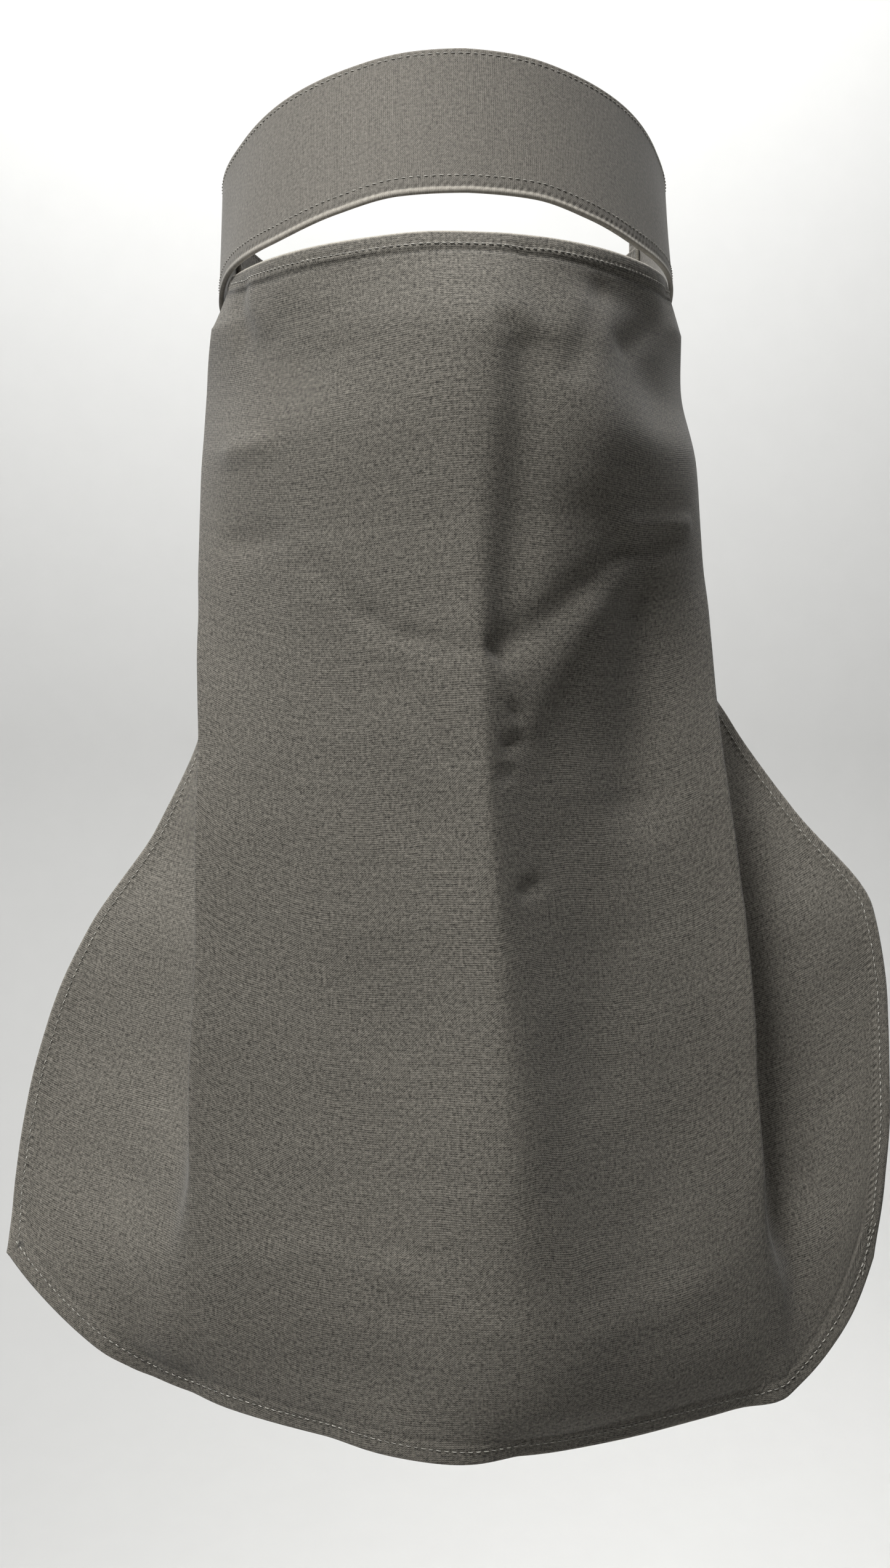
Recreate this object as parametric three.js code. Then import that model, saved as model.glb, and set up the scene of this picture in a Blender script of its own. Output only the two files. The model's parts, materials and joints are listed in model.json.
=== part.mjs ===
// A half niqab: a head band that closes round the back of the head, a narrow eye slit, and a veil
// that hangs from the band's sides, folds back along two side folds and spreads into two wings.
// Millimetres, +Z up, front towards -Y. The origin is the middle of the head loop, at the height
// of the band's middle over the temples.

import * as THREE from 'three';

// Head band
const headHalfWidth = 79.5;
const headHalfDepth = 98.5;
const bandHeight = 47.5;
const bandWall = 1.8;
const bandEndAngle = 112;

// Back straps and their closure
const strapHeight = 30;
const strapWall = 1.5;
const strapLapAngle = 6;
const strapOverlapAngle = 7;
const closureWall = 1.2;
const closureAngle = 5;
const closureMargin = 4;

// Veil
const slitHeight = 14.3;
const veilDrop = 364;
const veilReach = 119;
const veilHalfWidth = 153;
const veilWall = 1;
const hemWall = 1.6;
const topHemWidth = 4.4;
const sideHemWidth = 4;
const bottomHemWidth = 5;
const hemStep = 0.8;
const dentDepth = 2.5;

// Where the veil goes inside the band: from the corner of the eye slit back to the side hem,
// how far it laps up inside the band's lower edge at each, and the drop in which it swings free
const cornerAngle = 72;
const tuckAngle = 102;
const cornerLap = -0.5;
const tuckLap = 12;
const looseningDrop = 16;

// Clear gap between pieces that are sewn or pressed together
const pieceGap = 0.3;

// Mesh steps, the reach for slopes and the slack for rounding, both as shares
const bandSteps = 56;
const bandRows = 4;
const strapSteps = 20;
const strapRows = 2;
const closureSteps = 4;
const panelSteps = 13;
const sideSteps = 9;
const veilSteps = 34;
const normalReach = 0.02;
const rounding = 1e-6;

// Edges of the band round the head. Heights are shares of bandHeight above the origin,
// lean is how far the top edge leans in, as a share of the loop's radius.
const BAND_EDGE = table(
  ['angle', 'lower', 'upper', 'lean'],
  [
    [0, -0.228, 0.773, 0.130],
    [15, -0.238, 0.758, 0.127],
    [30, -0.299, 0.715, 0.119],
    [50, -0.373, 0.645, 0.098],
    [70, -0.384, 0.556, 0.070],
    [90, -0.462, 0.454, 0.015],
    [112, -0.515, 0.327, 0.000],
  ],
);

// Middle of the back straps, as shares of bandHeight above the origin
const STRAP_LINE = table(
  ['angle', 'middle'],
  [
    [100, -0.075],
    [130, -0.155],
    [160, -0.235],
    [190, -0.255],
  ],
);

// Line down the middle of the veil. down is the share of veilDrop, across of headHalfWidth,
// forward of veilReach. roundness softens the ridge and rise bends the rows up to the folds.
const MIDDLE = table(
  ['down', 'across', 'forward', 'roundness', 'rise'],
  [
    [0.00, 0.015, 0.874, 0.50, 5.0],
    [0.045, 0.015, 0.940, 0.42, 3.0],
    [0.09, 0.018, 0.990, 0.34, 1.6],
    [0.15, 0.020, 1.000, 0.26, 1.6],
    [0.25, 0.022, 0.992, 0.06, 1.6],
    [0.42, 0.040, 0.992, 0.02, 1.6],
    [0.60, 0.090, 1.000, 0.05, 1.6],
    [0.76, 0.128, 1.015, 0.12, 1.6],
    [0.88, 0.140, 1.010, 0.20, 1.6],
    [1.00, 0.145, 0.935, 0.28, 1.9],
  ],
);

// Sections of the veil on each side, from the fold back to the side hem. foldOut, crown and
// backOut are shares of headHalfWidth; wingOut and hemOut are shares of the spread from
// headHalfWidth to veilHalfWidth; the forward columns are shares of veilReach and the down
// columns shares of veilDrop.
const SIDE_COLUMNS = [
  'down', 'foldOut', 'foldForward', 'crown', 'foldDown', 'backOut', 'backForward',
  'wingOut', 'wingForward', 'hemOut', 'hemForward', 'hemDown',
];
const LEFT_SIDE = table(SIDE_COLUMNS, [
  [0.045, 1.010, 0.230, 0.100, 0.030, 1.025, 0.070, 0.030, -0.067, -0.015, -0.160, 0.017],
  [0.09, 1.030, 0.185, 0.100, 0.077, 1.036, 0.050, 0.030, -0.050, 0.000, -0.143, 0.075],
  [0.17, 1.045, 0.275, 0.130, 0.157, 1.047, 0.150, 0.035, 0.020, 0.005, -0.090, 0.147],
  [0.25, 1.048, 0.375, 0.110, 0.238, 1.020, 0.250, 0.010, 0.100, 0.005, -0.030, 0.222],
  [0.35, 1.044, 0.485, 0.060, 0.334, 0.975, 0.340, -0.020, 0.160, 0.020, 0.000, 0.313],
  [0.45, 1.046, 0.575, 0.010, 0.434, 0.900, 0.370, -0.040, 0.190, 0.080, 0.030, 0.402],
  [0.55, 1.046, 0.615, -0.020, 0.531, 0.855, 0.360, 0.020, 0.200, 0.286, 0.070, 0.493],
  [0.65, 1.055, 0.640, -0.045, 0.628, 0.865, 0.370, 0.190, 0.240, 0.576, 0.110, 0.582],
  [0.75, 1.071, 0.650, -0.050, 0.725, 0.915, 0.400, 0.310, 0.280, 0.762, 0.160, 0.670],
  [0.85, 1.086, 0.660, -0.040, 0.819, 1.080, 0.460, 0.460, 0.340, 0.857, 0.220, 0.756],
  [0.93, 1.130, 0.635, -0.020, 0.895, 1.250, 0.520, 0.620, 0.410, 0.885, 0.280, 0.821],
  [1.00, 1.160, 0.585, 0.000, 0.974, 1.300, 0.540, 0.660, 0.460, 0.896, 0.360, 0.868],
]);
const RIGHT_SIDE = table(SIDE_COLUMNS, [
  [0.045, 0.990, 0.230, 0.100, 0.030, 0.996, 0.070, 0.030, -0.067, -0.015, -0.160, 0.017],
  [0.09, 1.003, 0.185, 0.120, 0.077, 1.005, 0.050, 0.030, -0.050, 0.000, -0.143, 0.075],
  [0.17, 1.042, 0.275, 0.160, 0.157, 1.036, 0.150, 0.030, 0.020, 0.005, -0.090, 0.147],
  [0.25, 1.041, 0.375, 0.120, 0.238, 1.015, 0.250, 0.010, 0.110, 0.015, -0.030, 0.222],
  [0.35, 1.044, 0.485, 0.030, 0.334, 0.975, 0.350, 0.000, 0.210, 0.045, 0.080, 0.310],
  [0.45, 1.077, 0.575, -0.050, 0.434, 0.930, 0.400, 0.020, 0.300, 0.230, 0.200, 0.391],
  [0.55, 1.125, 0.615, -0.080, 0.531, 0.930, 0.450, 0.120, 0.360, 0.505, 0.280, 0.476],
  [0.65, 1.165, 0.640, -0.085, 0.629, 0.960, 0.480, 0.250, 0.400, 0.842, 0.340, 0.565],
  [0.75, 1.190, 0.650, -0.075, 0.730, 1.010, 0.500, 0.360, 0.420, 0.897, 0.370, 0.656],
  [0.85, 1.230, 0.660, -0.050, 0.829, 1.130, 0.530, 0.460, 0.450, 0.889, 0.400, 0.748],
  [0.93, 1.265, 0.635, -0.020, 0.908, 1.300, 0.560, 0.580, 0.480, 0.852, 0.430, 0.812],
  [1.00, 1.265, 0.585, 0.000, 0.998, 1.360, 0.560, 0.620, 0.510, 0.788, 0.460, 0.878],
]);

// How the rows turn up behind the fold, on each side: the even share of the climb, and the
// power of the rest
const UPTURN = {
  left: { even: 0.35, power: 1.9 },
  right: { even: 0.4, power: 2.8 },
};

// Crown of the top hem between the ridge and a fold, as a share of headHalfWidth
const TOP_CROWN = 0.15;

// Dents and soft ribs of the veil, each along a line from one point to another. across is -1 at
// the left fold, 0 at the ridge and 1 at the right fold, and 2 at a side hem; down is the share
// of veilDrop, spread the share of headHalfWidth, depth the share of dentDepth (a rib if below 0).
const DENTS = table(
  ['fromAcross', 'fromDown', 'toAcross', 'toDown', 'spread', 'depth'],
  [
    [0.17, 0.10, 0.10, 0.33, 0.080, 1.20],
    [0.40, 0.06, 0.36, 0.20, 0.100, -0.70],
    [0.68, 0.12, 0.64, 0.30, 0.130, 0.60],
    [0.66, 0.30, 0.64, 0.47, 0.140, 1.20],
    [-0.86, 0.03, -0.72, 0.075, 0.080, 0.40],
    [-0.35, 0.62, -0.42, 0.88, 0.200, 0.40],
    [0.45, 0.60, 0.50, 0.93, 0.220, 0.50],
    [-1.45, 0.80, -1.25, 0.90, 0.100, -0.40],
    [1.40, 0.83, 1.35, 0.93, 0.100, 0.40],
    [-0.88, 0.97, -0.40, 0.94, 0.140, 1.60],
    [0.05, 1.00, 0.85, 1.00, 0.140, 0.90],
    [-1.30, 1.00, -1.00, 1.00, 0.100, 1.10],
  ],
);

// Tables and interpolation

function table(columns, rows) {
  return rows.map((row) => Object.fromEntries(columns.map((name, k) => [name, row[k]])));
}

function mix(a, b, share) {
  return a + (b - a) * share;
}

function smoothStep(from, to, value) {
  const share = Math.min(1, Math.max(0, (value - from) / (to - from)));
  return share * share * (3 - 2 * share);
}

// Value of a column at a place along the table, on a smooth curve that never overshoots its rows
function track(rows, key, column, at) {
  const last = rows.length - 1;
  if (at <= rows[0][key]) {
    return rows[0][column];
  }
  if (at >= rows[last][key]) {
    return rows[last][column];
  }
  const slope = (k) => (rows[k + 1][column] - rows[k][column]) / (rows[k + 1][key] - rows[k][key]);
  const tangent = (k) => {
    if (k === 0) {
      return slope(0);
    }
    if (k === last) {
      return slope(last - 1);
    }
    const before = slope(k - 1);
    const after = slope(k);
    return before * after <= 0 ? 0 : (2 * before * after) / (before + after);
  };
  const k = rows.findIndex((row) => row[key] > at) - 1;
  const width = rows[k + 1][key] - rows[k][key];
  const t = (at - rows[k][key]) / width;
  const start = rows[k][column] * (1 + 2 * t) * (1 - t) ** 2;
  const end = rows[k + 1][column] * t * t * (3 - 2 * t);
  const leave = tangent(k) * width * t * (1 - t) ** 2;
  const arrive = tangent(k + 1) * width * t * t * (t - 1);
  return start + end + leave + arrive;
}

// Cloth as a closed wall: a grid of points down its middle, thickened along its normals

function clothWall(across, down, pointAt, wallAt) {
  const columns = across.length;
  const rows = down.length;
  const middle = down.map((v) => across.map((u) => pointAt(u, v)));
  const normalAt = (i, j) => {
    const alongRow = new THREE.Vector3().subVectors(
      middle[j][Math.min(i + 1, columns - 1)],
      middle[j][Math.max(i - 1, 0)],
    );
    const downColumn = new THREE.Vector3().subVectors(
      middle[Math.min(j + 1, rows - 1)][i],
      middle[Math.max(j - 1, 0)][i],
    );
    return downColumn.cross(alongRow).normalize();
  };
  const positions = [];
  for (const side of [0.5, -0.5]) {
    for (let j = 0; j < rows; j += 1) {
      for (let i = 0; i < columns; i += 1) {
        const offset = side * wallAt(across[i], down[j]);
        const point = middle[j][i].clone().addScaledVector(normalAt(i, j), offset);
        positions.push(point.x, point.y, point.z);
      }
    }
  }
  const front = (i, j) => j * columns + i;
  const back = (i, j) => rows * columns + front(i, j);
  const faces = [];
  const quad = (a, b, c, d) => faces.push(a, b, c, a, c, d);
  for (let j = 0; j < rows - 1; j += 1) {
    for (let i = 0; i < columns - 1; i += 1) {
      quad(front(i, j), front(i, j + 1), front(i + 1, j + 1), front(i + 1, j));
      quad(back(i, j), back(i + 1, j), back(i + 1, j + 1), back(i, j + 1));
    }
  }
  const lastColumn = columns - 1;
  const lastRow = rows - 1;
  for (let i = 0; i < lastColumn; i += 1) {
    quad(front(i, 0), front(i + 1, 0), back(i + 1, 0), back(i, 0));
    quad(front(i, lastRow), back(i, lastRow), back(i + 1, lastRow), front(i + 1, lastRow));
  }
  for (let j = 0; j < lastRow; j += 1) {
    quad(front(0, j), back(0, j), back(0, j + 1), front(0, j + 1));
    const outer = front(lastColumn, j);
    const inner = back(lastColumn, j);
    quad(outer, outer + columns, inner + columns, inner);
  }
  const geometry = new THREE.BufferGeometry();
  geometry.setAttribute('position', new THREE.Float32BufferAttribute(positions, 3));
  geometry.setIndex(faces);
  geometry.computeVertexNormals();
  return geometry;
}

function evenSteps(from, to, count) {
  return Array.from({ length: count + 1 }, (_, k) => mix(from, to, k / count));
}

// The head loop

function ringPoint(angle, inset, z) {
  const turn = THREE.MathUtils.degToRad(angle);
  const normal = new THREE.Vector2(Math.sin(turn) / headHalfWidth, -Math.cos(turn) / headHalfDepth);
  normal.normalize();
  return new THREE.Vector3(
    headHalfWidth * Math.sin(turn) - inset * normal.x,
    -headHalfDepth * Math.cos(turn) - inset * normal.y,
    z,
  );
}

function bandEdge(column, angle) {
  return bandHeight * track(BAND_EDGE, 'angle', column, Math.abs(angle));
}

function bandPoint(angle, share) {
  const z = mix(bandEdge('upper', angle), bandEdge('lower', angle), share);
  const lean = track(BAND_EDGE, 'angle', 'lean', Math.abs(angle)) * (1 - share);
  const point = ringPoint(angle, bandWall / 2, z);
  point.x *= 1 - lean;
  point.y *= 1 - lean;
  return point;
}

function buildBand() {
  return clothWall(
    evenSteps(-bandEndAngle, bandEndAngle, bandSteps),
    evenSteps(0, 1, bandRows),
    bandPoint,
    () => bandWall,
  );
}

// Back straps: sewn inside the band's ends, the right one lapped over the left one at the back

const strapStartAngle = bandEndAngle - strapLapAngle;
const strapEndAngle = 180 + strapOverlapAngle;
const strapSideInset = bandWall + pieceGap + strapWall / 2;
const outerStrapInset = strapWall / 2;
const closureInset = strapWall + pieceGap + closureWall / 2;
const innerStrapInset = strapWall + closureWall + 2 * pieceGap + strapWall / 2;

function strapPoint(side, backInset, angle, share) {
  const settle = smoothStep(bandEndAngle, 180 - strapOverlapAngle, angle);
  const middle = bandHeight * track(STRAP_LINE, 'angle', 'middle', angle);
  const z = middle + strapHeight * (0.5 - share);
  return ringPoint(side * angle, mix(strapSideInset, backInset, settle), z);
}

function buildStrap(side, backInset) {
  const angles = evenSteps(strapStartAngle, strapEndAngle, strapSteps);
  const ordered = side > 0 ? angles : angles.reverse();
  return clothWall(
    ordered,
    evenSteps(0, 1, strapRows),
    (angle, share) => strapPoint(side, backInset, angle, share),
    () => strapWall,
  );
}

function buildClosure() {
  const padHeight = strapHeight - 2 * closureMargin;
  const middle = bandHeight * track(STRAP_LINE, 'angle', 'middle', 180);
  return clothWall(
    evenSteps(180 - closureAngle, 180 + closureAngle, closureSteps),
    [0, 1],
    (angle, share) => ringPoint(angle, closureInset, middle + padHeight * (0.5 - share)),
    () => closureWall,
  );
}

// Veil

const veilTop = bandHeight * BAND_EDGE[0].lower - slitHeight;
const tuckInset = bandWall + pieceGap + hemWall / 2;
const wingSpread = veilHalfWidth - headHalfWidth;

function fromTop(downShare) {
  return veilTop - veilDrop * downShare;
}

function middlePlan(down) {
  return new THREE.Vector2(
    headHalfWidth * track(MIDDLE, 'down', 'across', down),
    -veilReach * track(MIDDLE, 'down', 'forward', down),
  );
}

// Plan of the top hem on one side, whose side stretch runs inside the band
function sewnSection(side) {
  const ring = (share) => {
    const point = ringPoint(side * mix(cornerAngle, tuckAngle, share), tuckInset, 0);
    return new THREE.Vector2(point.x, point.y);
  };
  return {
    crown: headHalfWidth * TOP_CROWN,
    fold: ring(0),
    back: ring(1 / 3),
    wing: ring(2 / 3),
    hem: ring(1),
  };
}

// Plan of the hanging cloth at one level, on one side
function hungSection(side, down) {
  const value = (column) => track(sideTable(side), 'down', column, down);
  const at = (out, forward) => new THREE.Vector2(side * out, -forward * veilReach);
  return {
    crown: headHalfWidth * value('crown'),
    fold: at(headHalfWidth * value('foldOut'), value('foldForward')),
    back: at(headHalfWidth * value('backOut'), value('backForward')),
    wing: at(headHalfWidth + wingSpread * value('wingOut'), value('wingForward')),
    hem: at(headHalfWidth + wingSpread * value('hemOut'), value('hemForward')),
  };
}

function sideTable(side) {
  return side < 0 ? LEFT_SIDE : RIGHT_SIDE;
}

// Place in plan along a section: 0 at the ridge, 1 at the fold, 2 at the side hem
function planPoint(section, side, away, down) {
  if (away > 1) {
    return new THREE.CubicBezierCurve(section.fold, section.back, section.wing, section.hem)
      .getPoint(away - 1);
  }
  const middle = middlePlan(down);
  const roundness = track(MIDDLE, 'down', 'roundness', down);
  const turned = (Math.hypot(away, roundness) - roundness) / (Math.hypot(1, roundness) - roundness);
  const chord = section.fold.clone().sub(middle);
  const outward = new THREE.Vector2(side * chord.y, -side * chord.x).normalize();
  const crown = section.crown * 4 * turned * (1 - turned);
  return new THREE.Vector2(middle.x + chord.x * away, middle.y + chord.y * turned)
    .addScaledVector(outward, crown);
}

// Height along a section: from the ridge up to the fold, and on up to the side hem
function heightAt(side, away, down) {
  const value = (column) => fromTop(track(sideTable(side), 'down', column, down));
  const hanging = smoothStep(0, looseningDrop, veilDrop * down);
  const foldHeight = mix(bandEdge('lower', cornerAngle) + cornerLap, value('foldDown'), hanging);
  const hemHeight = mix(bandEdge('lower', tuckAngle) + tuckLap, value('hemDown'), hanging);
  if (away <= 1) {
    return mix(fromTop(down), foldHeight, away ** track(MIDDLE, 'down', 'rise', down));
  }
  const upturn = side < 0 ? UPTURN.left : UPTURN.right;
  const climbed = mix((away - 1) ** upturn.power, away - 1, upturn.even);
  return mix(foldHeight, hemHeight, climbed);
}

// The veil's smooth form: it stays inside the band down to the band's lower edge, then hangs free
function drapePoint(across, down) {
  const side = across < 0 ? -1 : 1;
  const away = Math.abs(across);
  const tucked = Math.max(0, away - 1) * tuckLap + pieceGap;
  const loosened = smoothStep(tucked, tucked + looseningDrop, veilDrop * down);
  const plan = planPoint(sewnSection(side), side, away, down);
  plan.lerp(planPoint(hungSection(side, down), side, away, down), loosened);
  return new THREE.Vector3(plan.x, plan.y, heightAt(side, away, down));
}

function dentAt(across, down) {
  let depth = 0;
  for (const dent of DENTS) {
    const from = new THREE.Vector2(dent.fromAcross * headHalfWidth, dent.fromDown * veilDrop);
    const line = new THREE.Vector2(dent.toAcross * headHalfWidth, dent.toDown * veilDrop).sub(from);
    const place = new THREE.Vector2(across * headHalfWidth, down * veilDrop).sub(from);
    const along = Math.min(1, Math.max(0, place.dot(line) / line.lengthSq()));
    const away = place.sub(line.multiplyScalar(along)).length();
    depth += dent.depth * dentDepth * Math.exp(-((away / (dent.spread * headHalfWidth)) ** 2));
  }
  return depth;
}

function veilPoint(across, down) {
  const alongRow = drapePoint(Math.min(2, across + normalReach), down);
  alongRow.sub(drapePoint(Math.max(-2, across - normalReach), down));
  const downColumn = drapePoint(across, Math.min(1, down + normalReach));
  downColumn.sub(drapePoint(across, Math.max(0, down - normalReach)));
  const outward = downColumn.cross(alongRow).normalize();
  return drapePoint(across, down).addScaledVector(outward, -dentAt(across, down));
}

// Grid lines across the veil, with two close ones where each turned side hem ends
function veilColumns() {
  const hemShare = sideHemWidth / headHalfWidth;
  const stepShare = hemStep / headHalfWidth;
  const lastFree = 2 - hemShare - stepShare;
  const half = [
    ...evenSteps(0, 1, panelSteps).slice(1),
    ...evenSteps(1, lastFree, sideSteps).slice(1),
    2 - hemShare,
    2,
  ];
  return [...half.map((value) => -value).reverse(), 0, ...half];
}

function veilRows() {
  const topHem = topHemWidth / veilDrop;
  const bottomHem = bottomHemWidth / veilDrop;
  const step = hemStep / veilDrop;
  return [0, topHem, ...evenSteps(topHem + step, 1 - bottomHem - step, veilSteps), 1 - bottomHem, 1];
}

function veilThickness(across, down) {
  const inSideHem = Math.abs(across) >= 2 - sideHemWidth / headHalfWidth - rounding;
  const inTopHem = down <= topHemWidth / veilDrop + rounding;
  const inBottomHem = down >= 1 - bottomHemWidth / veilDrop - rounding;
  return inSideHem || inTopHem || inBottomHem ? hemWall : veilWall;
}

function buildVeil() {
  return clothWall(veilColumns(), veilRows(), veilPoint, veilThickness);
}

// The finished niqab

function piece(name, geometry, material) {
  const mesh = new THREE.Mesh(geometry, material);
  mesh.name = name;
  return mesh;
}

function cloth(colour) {
  return new THREE.MeshStandardMaterial({ color: colour, roughness: 0.9, metalness: 0 });
}

const niqab = new THREE.Group();
niqab.add(piece('head_band', buildBand(), cloth(0x77726a)));
niqab.add(piece('back_strap_left', buildStrap(-1, innerStrapInset), cloth(0x66625b)));
niqab.add(piece('back_strap_right', buildStrap(1, outerStrapInset), cloth(0x66625b)));
niqab.add(piece('back_closure', buildClosure(), cloth(0x34322f)));
niqab.add(piece('face_veil', buildVeil(), cloth(0x67635c)));

export default niqab;
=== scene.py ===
"""A half niqab: a shaped head band, a narrow eye slit and a long veil with side folds and wings."""

import json

import bpy
import numpy as np
from bpy.props import (
    FloatProperty,
    FloatVectorProperty,
    IntProperty,
    PointerProperty,
)
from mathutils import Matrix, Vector


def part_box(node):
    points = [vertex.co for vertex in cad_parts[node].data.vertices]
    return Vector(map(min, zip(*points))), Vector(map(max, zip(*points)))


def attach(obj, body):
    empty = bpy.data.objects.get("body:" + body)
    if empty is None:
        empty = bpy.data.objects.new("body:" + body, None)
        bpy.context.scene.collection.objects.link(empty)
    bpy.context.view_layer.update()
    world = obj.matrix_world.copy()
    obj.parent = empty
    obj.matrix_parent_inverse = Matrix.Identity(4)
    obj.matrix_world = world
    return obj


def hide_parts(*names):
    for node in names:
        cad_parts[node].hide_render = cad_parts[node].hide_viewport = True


bl_info = {
    "name": "Half Niqab",
    "version": (1, 0, 0),
    "blender": (4, 5, 0),
    "location": "3D View > Sidebar > Niqab",
    "description": "Makes a half niqab: head band, back straps, veil, stitching and stage",
    "category": "Add Mesh",
}

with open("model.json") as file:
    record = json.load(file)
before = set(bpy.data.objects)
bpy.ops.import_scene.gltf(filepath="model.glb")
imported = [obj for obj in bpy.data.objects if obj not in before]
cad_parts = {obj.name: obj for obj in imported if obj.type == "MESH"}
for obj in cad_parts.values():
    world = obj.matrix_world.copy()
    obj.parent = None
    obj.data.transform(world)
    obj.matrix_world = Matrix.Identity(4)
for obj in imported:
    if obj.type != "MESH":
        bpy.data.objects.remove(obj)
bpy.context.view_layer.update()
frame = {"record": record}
BODY = "root"
SLOT_COLOURS = {entry["slot"]: entry["base_color"] for entry in frame["record"]["materials"]}
BAND_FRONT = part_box("head_band")[0].y
VEIL_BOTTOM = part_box("face_veil")[0].z

MM = 0.001


# Tables


def table(columns, rows):
    values = np.array(rows, float)
    return {name: values[:, k] for k, name in enumerate(columns)}


# Edges of the band round the head: angle from the front in degrees, heights as shares of the
# band's height above the origin, lean as the share by which the top edge leans in.
BAND_EDGE = table(
    ["angle", "lower", "upper", "lean"],
    [
        [0, -0.228, 0.773, 0.130],
        [15, -0.238, 0.758, 0.127],
        [30, -0.299, 0.715, 0.119],
        [50, -0.373, 0.645, 0.098],
        [70, -0.384, 0.556, 0.070],
        [90, -0.462, 0.454, 0.015],
        [112, -0.515, 0.327, 0.000],
    ],
)

# Middle of the back straps, as a share of the band's height above the origin
STRAP_LINE = table(
    ["angle", "middle"],
    [[100, -0.075], [130, -0.155], [160, -0.235], [190, -0.255]],
)

# The pressed crease down the middle of the veil: down is the share of the drop, across of the
# loop's half width and forward of the veil's reach. roundness softens the crease, and rise
# bends the rows up to the side folds.
MIDDLE = table(
    ["down", "across", "forward", "roundness", "rise"],
    [
        [0.00, 0.015, 0.874, 0.50, 5.0],
        [0.045, 0.015, 0.940, 0.42, 3.0],
        [0.09, 0.018, 0.990, 0.34, 1.6],
        [0.15, 0.020, 1.000, 0.26, 1.6],
        [0.25, 0.022, 0.992, 0.06, 1.6],
        [0.42, 0.040, 0.992, 0.02, 1.6],
        [0.60, 0.090, 1.000, 0.05, 1.6],
        [0.76, 0.128, 1.015, 0.12, 1.6],
        [0.88, 0.140, 1.010, 0.20, 1.6],
        [1.00, 0.145, 0.935, 0.28, 1.9],
    ],
)

# Sections of the veil on each side, from the side fold back to the side hem. foldOut, crown and
# backOut are shares of the loop's half width; wingOut and hemOut are shares of the spread from
# there to the veil's half width; the forward columns are shares of the veil's reach and the down
# columns of its drop.
SIDE_COLUMNS = [
    "down", "foldOut", "foldForward", "crown", "foldDown", "backOut", "backForward",
    "wingOut", "wingForward", "hemOut", "hemForward", "hemDown",
]
LEFT_SIDE = table(
    SIDE_COLUMNS,
    [
        [0.045, 1.010, 0.230, 0.100, 0.030, 1.025, 0.070, 0.030, -0.067, -0.015, -0.160, 0.017],
        [0.09, 1.030, 0.185, 0.100, 0.077, 1.036, 0.050, 0.030, -0.050, 0.000, -0.143, 0.075],
        [0.17, 1.045, 0.275, 0.130, 0.157, 1.047, 0.150, 0.035, 0.020, 0.005, -0.090, 0.147],
        [0.25, 1.048, 0.375, 0.110, 0.238, 1.020, 0.250, 0.010, 0.100, 0.005, -0.030, 0.222],
        [0.35, 1.044, 0.485, 0.060, 0.334, 0.975, 0.340, -0.020, 0.160, 0.020, 0.000, 0.313],
        [0.45, 1.046, 0.575, 0.010, 0.434, 0.900, 0.370, -0.040, 0.190, 0.080, 0.030, 0.402],
        [0.55, 1.046, 0.615, -0.020, 0.531, 0.855, 0.360, 0.020, 0.200, 0.286, 0.070, 0.493],
        [0.65, 1.055, 0.640, -0.045, 0.628, 0.865, 0.370, 0.190, 0.240, 0.576, 0.110, 0.582],
        [0.75, 1.071, 0.650, -0.050, 0.725, 0.915, 0.400, 0.310, 0.280, 0.762, 0.160, 0.670],
        [0.85, 1.086, 0.660, -0.040, 0.819, 1.080, 0.460, 0.460, 0.340, 0.857, 0.220, 0.756],
        [0.93, 1.130, 0.635, -0.020, 0.895, 1.250, 0.520, 0.620, 0.410, 0.885, 0.280, 0.821],
        [1.00, 1.160, 0.585, 0.000, 0.974, 1.300, 0.540, 0.660, 0.460, 0.896, 0.360, 0.868],
    ],
)
RIGHT_SIDE = table(
    SIDE_COLUMNS,
    [
        [0.045, 0.990, 0.230, 0.100, 0.030, 0.996, 0.070, 0.030, -0.067, -0.015, -0.160, 0.017],
        [0.09, 1.003, 0.185, 0.120, 0.077, 1.005, 0.050, 0.030, -0.050, 0.000, -0.143, 0.075],
        [0.17, 1.042, 0.275, 0.160, 0.157, 1.036, 0.150, 0.030, 0.020, 0.005, -0.090, 0.147],
        [0.25, 1.041, 0.375, 0.120, 0.238, 1.015, 0.250, 0.010, 0.110, 0.015, -0.030, 0.222],
        [0.35, 1.044, 0.485, 0.030, 0.334, 0.975, 0.350, 0.000, 0.210, 0.045, 0.080, 0.310],
        [0.45, 1.077, 0.575, -0.050, 0.434, 0.930, 0.400, 0.020, 0.300, 0.230, 0.200, 0.391],
        [0.55, 1.125, 0.615, -0.080, 0.531, 0.930, 0.450, 0.120, 0.360, 0.505, 0.280, 0.476],
        [0.65, 1.165, 0.640, -0.085, 0.629, 0.960, 0.480, 0.250, 0.400, 0.842, 0.340, 0.565],
        [0.75, 1.190, 0.650, -0.075, 0.730, 1.010, 0.500, 0.360, 0.420, 0.897, 0.370, 0.656],
        [0.85, 1.230, 0.660, -0.050, 0.829, 1.130, 0.530, 0.460, 0.450, 0.889, 0.400, 0.748],
        [0.93, 1.265, 0.635, -0.020, 0.908, 1.300, 0.560, 0.580, 0.480, 0.852, 0.430, 0.812],
        [1.00, 1.265, 0.585, 0.000, 0.998, 1.360, 0.560, 0.620, 0.510, 0.788, 0.460, 0.878],
    ],
)

# How the rows turn up behind each fold, from the even share of the climb and the rest's power
UPTURN = {-1: (0.35, 1.9), 1: (0.4, 2.8)}

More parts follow.
